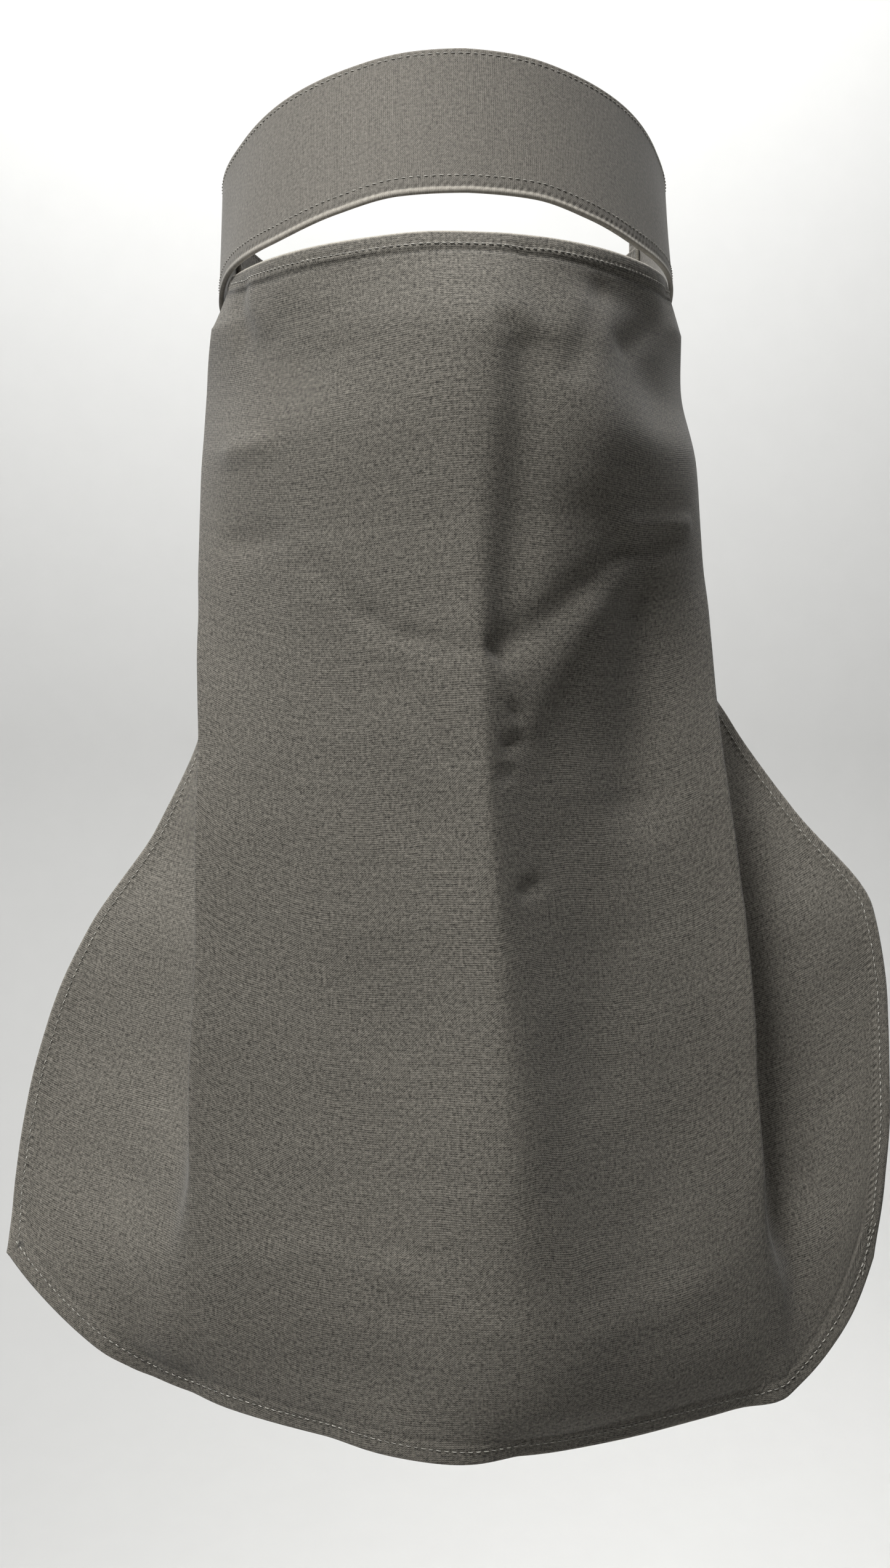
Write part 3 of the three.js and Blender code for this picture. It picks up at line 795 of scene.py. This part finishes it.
def stitches(name, rows, thread, material):
    """Rows of short threads as one joined mesh. A row is places, headings and outward ways."""
    draws = np.random.default_rng(thread.seed)
    places, headings, outwards = (np.concatenate(part) for part in zip(*rows))
    count = len(places)
    slant = draws.normal(*STITCH_SLANT, count)[:, None]
    size = (thread.stitch / 2) * draws.uniform(*STITCH_LENGTHS, count)[:, None]
    sideways = np.cross(headings, outwards)
    headings = unit(headings + sideways * slant)
    sideways = np.cross(headings, outwards)

    stations = STITCH["along"]
    widths = STITCH["thick"] * thread.radius
    rise = (STITCH_CROWN - STITCH_DIP * stations**4) * thread.radius
    turns = np.arange(thread.sides) * 2 * np.pi / thread.sides
    centres = places[:, None] + headings[:, None] * (size * stations)[..., None]
    centres = centres + outwards[:, None] * rise[None, :, None]
    circle = (
        sideways[:, None, None] * np.cos(turns)[None, None, :, None]
        + outwards[:, None, None] * np.sin(turns)[None, None, :, None]
    )
    corners = centres[:, :, None] + circle * widths[None, :, None, None]

    per_stitch = len(stations) * thread.sides
    ring_numbers = np.arange(per_stitch).reshape(len(stations), thread.sides)
    turned = np.roll(ring_numbers, -1, 1)
    quads = np.stack([ring_numbers[:-1], turned[:-1], turned[1:], ring_numbers[1:]], -1)
    quads = quads.reshape(-1, 4)
    base = np.arange(count)[:, None, None] * per_stitch
    sides = (quads[None] + base).reshape(-1, 4)
    start_caps = (ring_numbers[0][None, ::-1] + base[:, 0]).tolist()
    end_caps = (ring_numbers[-1][None] + base[:, 0]).tolist()

    faces = sides.tolist() + start_caps + end_caps
    piece = mesh_piece(name, corners.reshape(-1, 3), faces, material)
    tone = np.repeat(draws.uniform(0, 1, count), per_stitch)
    attribute = piece.data.attributes.new("stitch_tone", "FLOAT", "POINT")
    attribute.data.foreach_set("value", tone.astype(np.float32))
    return piece


# Materials


# Steps and row length of the nodes in the editor
NODE_STEP = (190, -260)
NODES_A_ROW = 12


class Graph:
    """A node tree and the short calls that fill it: a value is a number or another output."""

    def __init__(self, tree):
        self.tree = tree

    def add(self, kind, inputs=None, **settings):
        node = self.tree.nodes.new("ShaderNode" + kind)
        row, place = divmod(len(self.tree.nodes), NODES_A_ROW)
        node.location = (NODE_STEP[0] * place, NODE_STEP[1] * row)
        for name, value in settings.items():
            setattr(node, name, value)
        self.fill(node, inputs or {})
        return node

    def fill(self, node, inputs):
        for socket, value in inputs.items():
            self.set(node.inputs[socket], value)

    def set(self, socket, value):
        if isinstance(value, bpy.types.NodeSocket):
            self.tree.links.new(value, socket)
        else:
            socket.default_value = value

    def math(self, operation, *values):
        node = self.add("Math", dict(enumerate(values)), operation=operation)
        return node.outputs[0]

    def total(self, first, *others):
        for value in others:
            first = self.math("ADD", first, value)
        return first

    def scale(self, colour, gain):
        node = self.add("VectorMath", {0: colour}, operation="SCALE")
        self.set(node.inputs["Scale"], gain)
        return node.outputs[0]

    def bump(self, height, distance, strength):
        inputs = {"Height": height, "Distance": distance, "Strength": strength}
        return self.add("Bump", inputs).outputs[0]

    def read(self, name, output="Vector"):
        """A value that the mesh holds at each place."""
        return self.add("Attribute", attribute_name=name).outputs[output]

    def stretch(self, value, low, high, to_low=0.0, to_high=1.0):
        """A value taken from one range to another, held at its ends."""
        places = {0: value, 1: low, 2: high, 3: to_low, 4: to_high}
        return self.add("MapRange", places, clamp=True).outputs[0]

    def noise(self, vector, scale, detail=2.0, roughness=0.5):
        inputs = {"Vector": vector, "Scale": scale, "Detail": detail, "Roughness": roughness}
        return self.add("TexNoise", inputs).outputs["Fac"]

    def join(self, x, y, z=0.0):
        return self.add("CombineXYZ", {0: x, 1: y, 2: z}).outputs[0]


def node_group(name, inputs, outputs):
    """A new shader node group: its graph, its inputs by name and its output node."""
    group = bpy.data.node_groups.new(name, "ShaderNodeTree")
    for socket, kind, default in inputs:
        made = group.interface.new_socket(socket, in_out="INPUT", socket_type=kind)
        if default is not None:
            made.default_value = default
    for socket, kind in outputs:
        group.interface.new_socket(socket, in_out="OUTPUT", socket_type=kind)
    entry = group.nodes.new("NodeGroupInput")
    leave = group.nodes.new("NodeGroupOutput")
    return Graph(group), entry.outputs, leave


NUMBER = "NodeSocketFloat"
VECTOR = "NodeSocketVector"
COLOUR = "NodeSocketColor"


def weave_group():
    """Weave whose threads form cross ribs and short slants that rise to the right, with slubs."""
    name = "Ribbed weave"
    if name in bpy.data.node_groups:
        return bpy.data.node_groups[name]
    g, given, leave = node_group(
        name,
        [
            ("Place", VECTOR, None),
            ("Weft Pitch", NUMBER, 0.00066),
            ("Warp Pitch", NUMBER, 0.0008),
            ("Slub", NUMBER, 0.5),
        ],
        [("Height", NUMBER), ("Streak", NUMBER)],
    )

    def wave(turns):
        return g.math("SINE", g.math("MULTIPLY", turns, 2 * np.pi))

    parts = g.add("SeparateXYZ", {0: given["Place"]}).outputs
    shift = g.noise(given["Place"], scale=150.0, detail=4.0, roughness=0.6)
    wander = g.math("SUBTRACT", shift, 0.5)
    rows = g.math("ADD", g.math("DIVIDE", parts[1], given["Weft Pitch"]), wander)
    columns = g.math("ADD", g.math("DIVIDE", parts[0], given["Warp Pitch"]), wander)
    slants = g.stretch(g.noise(given["Place"], scale=40.0, detail=3.0), 0.35, 0.65, 0.12, 0.5)
    ribs = g.math("MULTIPLY", wave(rows), g.math("SUBTRACT", 0.62, slants))
    rising = g.math("MULTIPLY", wave(g.math("ADD", rows, columns)), slants)
    falling = g.math("MULTIPLY", wave(g.math("SUBTRACT", rows, columns)), 0.16)

    def slubs(x, y, strength):
        """Threads that swell and thin out along their run, about two to a rib."""
        swelling = g.noise(g.join(x, y), scale=1.0, roughness=0.6)
        return g.stretch(swelling, 0.28, 0.72, -strength, strength)

    run_across, run_down = (g.math("MULTIPLY", parts[k], 300.0) for k in (0, 1))
    over_rows, over_columns = (g.math("MULTIPLY", turns, 1.9) for turns in (rows, columns))
    across = slubs(run_across, over_rows, 1.0)
    upright = slubs(over_columns, run_down, 0.9)
    uneven = g.math("MULTIPLY", g.math("ADD", across, upright), given["Slub"])
    woven = g.total(ribs, rising, falling, uneven)
    streak_place = g.join(g.math("MULTIPLY", parts[0], 12.0), g.math("MULTIPLY", rows, 0.4))
    streak = g.noise(streak_place, scale=1.0, detail=4.0, roughness=0.75)
    height = g.math("ADD", 0.5, g.math("MULTIPLY", woven, 0.5))
    g.fill(leave, {"Height": height, "Streak": g.stretch(streak, 0.28, 0.74)})
    return g.tree


def cloth_tone_group():
    """Colour of woven cloth: painted light on thread tops, painted shade in the gaps and below hem
    ridges, streaks, patches and a painted edge highlight.
    """
    name = "Cloth tone"
    if name in bpy.data.node_groups:
        return bpy.data.node_groups[name]
    g, given, leave = node_group(
        name,
        [
            ("Colour", COLOUR, (0.13, 0.12, 0.1, 1)),
            ("Place", VECTOR, None),
            ("Height", NUMBER, 0.5),
            ("Streak", NUMBER, 0.5),
            ("Painted Shade", NUMBER, 0.0),
            ("Edge Distance", NUMBER, 1.0),
            ("Edge Width", NUMBER, 0.001),
            ("Edge Highlight", NUMBER, 0.5),
            ("Depth", NUMBER, 1.5),
            ("Grain", NUMBER, 0.4),
            ("Grain Scale", NUMBER, 950.0),
        ],
        [("Colour", COLOUR), ("Roughness", NUMBER)],
    )
    soft_edge = 0.4 * MM
    streak_share = 0.18
    patch_share = 0.035
    darkest = 0.2
    # Painted light and shade of the weave: thread tops are painted lighter and the gaps between
    # them darker
    relief = g.math("MULTIPLY", g.math("SUBTRACT", given["Height"], 0.5), given["Depth"])
    lines = g.math("MULTIPLY", g.math("SUBTRACT", given["Streak"], 0.5), streak_share)
    lines = g.math("MULTIPLY", lines, given["Depth"])
    patches = g.stretch(g.noise(given["Place"], scale=14.0, detail=3.0), 0.3, 0.7, -1.0, 1.0)
    patches = g.math("MULTIPLY", patches, patch_share)
    specks = g.noise(given["Place"], given["Grain Scale"], detail=2.5, roughness=0.8)
    specks = g.math("MULTIPLY", g.stretch(specks, 0.3, 0.7, -1.0, 1.0), given["Grain"])
    # Painted highlight: the cloth is painted paler within Edge Width of its rim, fading over
    # soft_edge
    inner = g.math("ADD", given["Edge Width"], soft_edge)
    edge_highlight_weight = g.stretch(given["Edge Distance"], given["Edge Width"], inner, 1.0, 0.0)
    painted_edge_highlight = g.math("MULTIPLY", edge_highlight_weight, given["Edge Highlight"])
    light = g.total(relief, lines, patches, specks, given["Painted Shade"], painted_edge_highlight)
    gain = g.math("MAXIMUM", g.math("ADD", 1.0, light), darkest)
    rough = g.stretch(given["Height"], 0.1, 1.1, 0.95, 0.74)
    g.fill(leave, {"Colour": g.scale(given["Colour"], gain), "Roughness": rough})
    return g.tree


def seam_group():
    """Cloth drawn in along a seam, a pucker for each stitch, the ridge of the turned hem, and
    painted shade at the ridge's foot.
    """
    name = "Seam puckers"
    if name in bpy.data.node_groups:
        return bpy.data.node_groups[name]
    g, given, leave = node_group(
        name,
        [
            ("Along", NUMBER, 0.0),
            ("Distance", NUMBER, 1.0),
            ("Seam", NUMBER, 0.004),
            ("Ridge", NUMBER, 1.0),
            ("Pitch", NUMBER, 0.0023),
            ("Width", NUMBER, 0.0009),
        ],
        [("Height", NUMBER), ("Painted Shade", NUMBER)],
    )

    def hump(place):
        off = g.math("DIVIDE", g.math("SUBTRACT", given["Distance"], place), given["Width"])
        return g.math("POWER", np.e, g.math("MULTIPLY", g.math("MULTIPLY", off, off), -1.0))

    turn = g.math("MULTIPLY", g.math("DIVIDE", given["Along"], given["Pitch"]), 2 * np.pi)
    crest_step = 1.0 * MM
    foot_step = 1.9 * MM
    drawn_in, pucker = 0.45, 0.3
    foot_depth, foot_painted_shade = 0.8, -0.25
    wave = g.math("MULTIPLY", g.math("COSINE", turn), pucker)
    drawn = g.math("MULTIPLY", hump(given["Seam"]), g.math("ADD", drawn_in, wave))
    crest = g.math("ADD", given["Seam"], crest_step)
    foot = g.math("ADD", crest, foot_step)
    ridge = g.math("SUBTRACT", hump(crest), g.math("MULTIPLY", hump(foot), foot_depth))
    ridge = g.math("MULTIPLY", ridge, given["Ridge"])
    # Painted shade: the colour is darkened along the foot of the hem's ridge, where the step below
    # it lies in shadow
    painted_shade = g.math("MULTIPLY", hump(foot), g.math("MULTIPLY", given["Ridge"], foot_painted_shade))
    g.fill(leave, {"Height": g.math("SUBTRACT", ridge, drawn), "Painted Shade": painted_shade})
    return g.tree


def new_material(name):
    material = bpy.data.materials.new(name)
    material.use_nodes = True
    tree = material.node_tree
    return material, Graph(tree), tree.nodes["Principled BSDF"]


def place_group(g, group, values):
    node = g.add("Group")
    node.node_tree = group
    g.fill(node, values)
    return node.outputs


def cloth_material(name, tint, look, thread, *, seam, edge, depth, ridge=0.0, upright=False):
    """Woven cloth: weave, slubs and seam puckers in the relief; streaks and painted light and shade
    in the colour.

    seam is the groove's distance from the edge, edge the width of the painted highlight along the
    rim, depth the contrast of the weave's painted light and shade, streaks and grain, and ridge how
    far the turned hem stands out and how dark the painted shade at its foot is. The cross threads
    run along the cloth's rows, or down its columns where it is upright.
    """
    if name in bpy.data.materials:
        return bpy.data.materials[name]
    material, g, shader = new_material(name)
    place = g.read("cloth_place")
    if upright:
        place_parts = g.add("SeparateXYZ", {0: place}).outputs
        place = g.join(place_parts[1], place_parts[0])
    along, distance, edge_highlight_weight = g.add("SeparateXYZ", {0: g.read("hem_place")}).outputs
    weave = place_group(
        g,
        weave_group(),
        {
            "Place": place,
            "Weft Pitch": look.weft_pitch,
            "Warp Pitch": look.warp_pitch,
            "Slub": look.slub,
        },
    )
    # The hem's ridge and the painted shade at its foot take the same per-edge weight as the painted
    # edge highlight
    folded = g.math("MULTIPLY", g.math("MINIMUM", edge_highlight_weight, 1.0), ridge)
    puckers = place_group(
        g,
        seam_group(),
        {
            "Along": along,
            "Distance": distance,
            "Seam": seam,
            "Ridge": folded,
            "Pitch": thread.pitch,
        },
    )
    tone = place_group(
        g,
        cloth_tone_group(),
        {
            "Colour": (*tint, 1),
            "Place": place,
            "Height": weave["Height"],
            "Streak": weave["Streak"],
            "Painted Shade": puckers["Painted Shade"],
            "Edge Distance": distance,
            "Edge Width": edge,
            "Edge Highlight": edge_highlight_weight,
            "Depth": depth,
            "Grain": look.grain * depth,
        },
    )
    woven = g.bump(weave["Height"], distance=0.09 * MM, strength=0.7)
    sewn = g.bump(puckers["Height"], distance=0.45 * MM, strength=0.8)
    g.set(sewn.node.inputs["Normal"], woven)
    g.fill(
        shader,
        {
            "Base Color": tone["Colour"],
            "Roughness": tone["Roughness"],
            "Normal": sewn,
            "Specular IOR Level": 0.3,
            "Sheen Weight": 0.15,
            "Sheen Roughness": 0.45,
        },
    )
    return material


def thread_material(look):
    """Twisted sewing thread, a little paler than the cloth and uneven from stitch to stitch."""
    name = "sewing_thread"
    if name in bpy.data.materials:
        return bpy.data.materials[name]
    material, g, shader = new_material(name)
    fibres = g.noise(g.add("TexCoord").outputs["Object"], scale=9000.0)
    stitch_gain = g.stretch(g.read("stitch_tone", "Fac"), 0.0, 1.0, 0.62, 1.15)
    gain = g.math("MULTIPLY", stitch_gain, g.stretch(fibres, 0.3, 0.7, 0.85, 1.1))
    g.fill(
        shader,
        {
            "Base Color": g.scale(tuple(look.thread), gain),
            "Roughness": 0.55,
            "Normal": g.bump(fibres, distance=0.05 * MM, strength=0.6),
        },
    )
    return material


def tape_material(look):
    """Hook-and-loop tape: a dense field of small dark loops, painted lighter on their tops and
    darker between them.
    """
    material, g, shader = new_material("closure_loops")
    place = g.read("cloth_place")
    loops = g.add("TexVoronoi", {"Vector": place, "Scale": 1400.0}).outputs["Distance"]
    fuzz = g.noise(place, scale=2600.0, detail=3.0)
    height = g.math("ADD", g.math("SUBTRACT", 1.0, loops), g.math("MULTIPLY", fuzz, 0.6))
    # Painted light and shade: the loops' tops are painted lighter and the hollows between them
    # darker
    gain = g.stretch(height, 0.4, 1.5, 0.6, 1.5)
    g.fill(
        shader,
        {
            "Base Color": g.scale(tuple(look.tape), gain),
            "Roughness": g.stretch(fuzz, 0.3, 0.7, 0.6, 0.85),
            "Normal": g.bump(height, distance=0.3 * MM, strength=0.9),
        },
    )
    return material


def stage_material(stage):
    """Matt pale paper with a barely visible grain."""
    material, g, shader = new_material("pale_paper")
    grain = g.noise(g.add("TexCoord").outputs["Object"], scale=35.0, detail=3.0)
    paper = g.scale(tuple(stage.pale), g.stretch(grain, 0.3, 0.7, 0.985, 1.0))
    g.fill(shader, {"Base Color": paper, "Roughness": 0.9})
    return material


# Operators


def settings(context):
    scene = context.scene
    return scene.niqab_loop, scene.niqab_veil, scene.niqab_thread, scene.niqab_look


def seat(piece, nodes=()):
    """Ties a piece to the frame: its body and the solids that it stands for."""
    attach(piece, BODY)
    if nodes:
        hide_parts(*nodes)
    return piece


def outer_rows(place, thickness, lines, thread):
    """Stitch rows along lines of u and v on a cloth's outer face."""
    reach = 0.004
    rows = []
    for u_line, v_line in lines:
        line = place(u_line, v_line)
        run = np.concatenate([[0], np.cumsum(np.linalg.norm(np.diff(line, axis=0), axis=-1))])
        at = np.arange(0.5, run[-1] / thread.pitch - 0.3) * thread.pitch
        u = np.interp(at, run, u_line)
        v = np.interp(at, run, v_line)
        middle = place(u, v)
        ways = np.gradient(line, run, axis=0)
        heading = unit(np.stack([np.interp(at, run, ways[:, k]) for k in range(3)], -1))
        reach_u = reach * max(np.abs(u_line).max(), 1)
        row = place(u + reach_u, v) - place(u - reach_u, v)
        column = place(u, v + reach) - place(u, v - reach)
        outward = unit(np.cross(column, row))
        rows.append((middle + outward * thickness / 2, heading, outward))
    return rows


class NIQAB_OT_head_band(bpy.types.Operator):
    """Sews the shaped head band"""

    bl_idname = "niqab.head_band"
    bl_label = "Head Band"

    def execute(self, context):
        loop, _, thread, look = settings(context)
        angles = np.linspace(-loop.band_end, loop.band_end, BAND_COLUMNS)
        angle, part = np.meshgrid(angles, graded(BAND_ROWS))
        middle = band_place(loop, angle, part)
        values = {"seam": BAND_UPPER_ROW, "edge": 1.0 * MM, "depth": 0.9, "upright": True}
        material = cloth_material("band_weave", look.band, look, thread, **values)
        wall = loop.band_wall * DRESSED
        # Painted highlight along the band's edges, strongest on the rolled lower edge in front,
        # where it faces the light, fading towards the sides
        rolled_edge_highlight = mix(1.25, 0.3, smooth_step(45, 85, np.abs(angle)))
        edge_highlight = (0.2, 0.2, 0.25, rolled_edge_highlight)
        piece = cloth_wall("head_band_cloth", middle, wall, material, edge_highlight)
        seat(piece, ["head_band"])
        return {"FINISHED"}


class NIQAB_OT_back_straps(bpy.types.Operator):
    """Makes the two straps that lap at the back"""

    bl_idname = "niqab.back_straps"
    bl_label = "Back Straps"

    def execute(self, context):
        loop, _, thread, look = settings(context)
        values = {"seam": STRAP_ROW, "edge": 0.3 * MM, "depth": 1.2}
        material = cloth_material("strap_weave", look.strap, look, thread, **values)
        start = loop.band_end - loop.strap_lap
        angles = np.linspace(start, 180 + loop.strap_overlap, STRAP_COLUMNS)
        wall = loop.strap_wall * DRESSED
        for side, word in ((-1, "left"), (1, "right")):
            angle, part = np.meshgrid(angles[::side], graded(STRAP_ROWS))
            middle = strap_place(loop, side, angle, part)
            piece = cloth_wall(f"back_strap_{word}_cloth", middle, wall, material)
            seat(piece, [f"back_strap_{word}"])
        return {"FINISHED"}


class NIQAB_OT_back_closure(bpy.types.Operator):
    """Makes the closure tape between the straps"""

    bl_idname = "niqab.back_closure"
    bl_label = "Back Closure"

    def execute(self, context):
        loop, _, _, look = settings(context)
        angles = np.linspace(180 - loop.closure_half, 180 + loop.closure_half, CLOSURE_LINES)
        angle, part = np.meshgrid(angles, np.linspace(0, 1, CLOSURE_LINES))
        middle = closure_place(loop, angle, part)
        piece = cloth_wall("back_closure_tape", middle, loop.closure_wall, tape_material(look))
        seat(piece, ["back_closure"])
        return {"FINISHED"}


class NIQAB_OT_face_veil(bpy.types.Operator):
    """Hangs the veil with its folds, wings and hems"""

    bl_idname = "niqab.face_veil"
    bl_label = "Face Veil"

    def execute(self, context):
        loop, veil, thread, look = settings(context)
        across, down = veil_grid(loop, veil)
        middle = veil_place(loop, veil, across, down)
        _, distance, nearest = hem_place(middle)
        hems = np.array([veil.side_hem, veil.side_hem, veil.top_hem, veil.bottom_hem])[nearest]
        turned = 1 - smooth_step(hems - 0.25 * MM, hems + 0.35 * MM, distance)
        thickness = mix(veil.cloth, veil.hem, turned)
        values = {"seam": VEIL_GROOVE, "edge": 0.25 * MM, "depth": 1.6, "ridge": 1}
        material = cloth_material("veil_weave", look.veil, look, thread, **values)
        # Painted highlight along the left, right, top and bottom edges: paler on the left, where
        # the light comes from, than on the right, and strongest on the top edge, which faces up
        # into the light
        edge_highlight = (0.3, 0.15, 1.5, 0.4)
        piece = cloth_wall("face_veil_cloth", middle, thickness, material, edge_highlight)
        seat(piece, ["face_veil"])
        return {"FINISHED"}


class NIQAB_OT_stitching(bpy.types.Operator):
    """Stitches the edges of the band, the straps and the veil"""

    bl_idname = "niqab.stitching"
    bl_label = "Stitching"

    def execute(self, context):
        loop, veil, thread, look = settings(context)
        material = thread_material(look)
        self.band(loop, thread, material)
        self.straps(loop, thread, material)
        self.veil(loop, veil, thread, material)
        return {"FINISHED"}

    def band(self, loop, thread, material):
        angle = np.linspace(0.5 - loop.band_end, loop.band_end - 0.5, 600)
        height = band_edge(loop, "upper", angle) - band_edge(loop, "lower", angle)
        lines = [(angle, BAND_UPPER_ROW / height), (angle, 1 - BAND_LOWER_ROW / height)]
        wall = loop.band_wall * DRESSED
        rows = outer_rows(lambda u, v: band_place(loop, u, v), wall, lines, thread)
        seat(stitches("band_stitching", rows, thread, material))

    def straps(self, loop, thread, material):
        count = 300
        angle = np.linspace(loop.band_end + 1, 180 + loop.strap_overlap - 1, count)
        wall = loop.strap_wall * DRESSED
        for side, word in ((-1, "left"), (1, "right")):
            lines = [(angle[::side], np.full(count, part)) for part in STRAP_ROW_PARTS]
            rows = outer_rows(lambda u, v: strap_place(loop, side, u, v), wall, lines, thread)
            rows = [(place, way, out * side) for place, way, out in rows]
            seat(stitches(f"strap_stitching_{word}", rows, thread, material))

    def veil(self, loop, veil, thread, material):
        count = 900
        steps = np.linspace(0, 1, count)

        def place(across, down):
            return veil_place(loop, veil, np.clip(across, -2, 2), np.clip(down, 0, 1))

        lines = []
        for side in (-2.0, 2.0):
            down = mix(0.03, 0.985, steps)
            edge = np.full(count, side)
            inset = VEIL_SIDE_ROW / hem_scale(loop, veil, edge, down, "side")
            lines.append((edge - np.sign(side) * inset, down))
        across = mix(-1.96, 1.96, steps)
        inset = VEIL_BOTTOM_ROW / hem_scale(loop, veil, across, np.ones(count), "bottom")
        lines.append((across, 1 - inset))
        across = mix(-0.98, 0.98, steps)
        lines.append((across, np.full(count, VEIL_TOP_ROW / veil.drop)))
        rows = outer_rows(place, veil.hem, lines, thread)
        seat(stitches("veil_stitching", rows, thread, material))


class NIQAB_OT_stage(bpy.types.Operator):
    """Sets the pale floor, the lights and the camera"""

    bl_idname = "niqab.stage"
    bl_label = "Stage"

    def execute(self, context):
        stage = context.scene.niqab_stage
        self.floor(stage)
        self.camera(context, stage)
        self.lights(context, stage)
        return {"FINISHED"}

    def floor(self, stage):
        level = VEIL_BOTTOM - stage.below
        turns = np.linspace(0, np.pi / 2, 25)
        front = np.array([[-stage.breadth, level]])
        bend_y = stage.behind - stage.bend + stage.bend * np.sin(turns)
        bend_z = level + stage.bend * (1 - np.cos(turns))
        top = np.array([[stage.behind, level + stage.backdrop]])
        profile = np.concatenate([front, np.stack([bend_y, bend_z], -1), top])
        edges = np.array([-stage.breadth, stage.breadth])
        corners = [(x, y, z) for x in edges for y, z in profile]
        count = len(profile)
        faces = [(count + k, count + k + 1, k + 1, k) for k in range(count - 1)]
        floor = mesh_piece("pale_floor", np.array(corners), faces, stage_material(stage))

    def camera(self, context, stage):
        turn = np.radians(stage.turn)
        back = np.array([-np.sin(turn), -np.cos(turn)])
        data = bpy.data.cameras.new("camera")
        data.lens = stage.focal
        data.sensor_width = 36
        camera = bpy.data.objects.new("camera", data)
        camera.location = (*(back * stage.distance), stage.height)
        camera.rotation_euler = Vector((-back[0], -back[1], 0)).to_track_quat("-Z", "Y").to_euler()
        context.scene.collection.objects.link(camera)
        context.scene.camera = camera

    def lights(self, context, stage):
        veil = Vector((0, -0.06, -0.17))
        wall = Vector((0, 1.5, -0.25))
        self.area(context, "key", (-0.75, -1.05, 1.25), veil, 0.6, stage.key, 34)
        self.area(context, "fill", (1.2, -1.2, 0.1), veil, 1.2, stage.fill)
        self.area(context, "backdrop_light", (0, 0.45, 1.5), wall, 1.2, stage.backdrop_light)
        world = bpy.data.worlds.new("studio")
        world.use_nodes = True
        background = world.node_tree.nodes["Background"]
        background.inputs["Color"].default_value = (1, 0.99, 0.97, 1)
        background.inputs["Strength"].default_value = stage.sky
        context.scene.world = world
        context.scene.view_settings.view_transform = "Standard"

    def area(self, context, name, place, aim, size, energy, spread=180):
        """An area light of a size in metres, a power in watts and a spread in degrees."""
        data = bpy.data.lights.new(name, "AREA")
        data.size = size
        data.spread = np.radians(spread)
        data.energy = energy
        light = bpy.data.objects.new(name, data)
        light.location = place
        light.rotation_euler = (aim - Vector(place)).to_track_quat("-Z", "Y").to_euler()
        context.scene.collection.objects.link(light)


PIECES = [
    NIQAB_OT_head_band,
    NIQAB_OT_back_straps,
    NIQAB_OT_back_closure,
    NIQAB_OT_face_veil,
    NIQAB_OT_stitching,
    NIQAB_OT_stage,
]


class NIQAB_PT_pieces(bpy.types.Panel):
    """Lists the niqab's sizes and pieces"""

    bl_idname = "NIQAB_PT_pieces"
    bl_label = "Half Niqab"
    bl_space_type = "VIEW_3D"
    bl_region_type = "UI"
    bl_category = "Niqab"

    def draw(self, context):
        for name, group in SETTINGS.items():
            box = self.layout.box()
            box.label(text=group.__doc__)
            for key in group.__annotations__:
                box.prop(getattr(context.scene, name), key)
        for operator in PIECES:
            self.layout.operator(operator.bl_idname)


CLASSES = [*SETTINGS.values(), *PIECES, NIQAB_PT_pieces]


def register():
    for entry in CLASSES:
        bpy.utils.register_class(entry)
    for name, group in SETTINGS.items():
        setattr(bpy.types.Scene, name, PointerProperty(type=group))


def unregister():
    for name in SETTINGS:
        delattr(bpy.types.Scene, name)
    for entry in reversed(CLASSES):
        bpy.utils.unregister_class(entry)


def main():
    register()
    bpy.ops.niqab.head_band()
    bpy.ops.niqab.back_straps()
    bpy.ops.niqab.back_closure()
    bpy.ops.niqab.face_veil()
    bpy.ops.niqab.stitching()
    bpy.ops.niqab.stage()


if __name__ == "__main__":
    main()
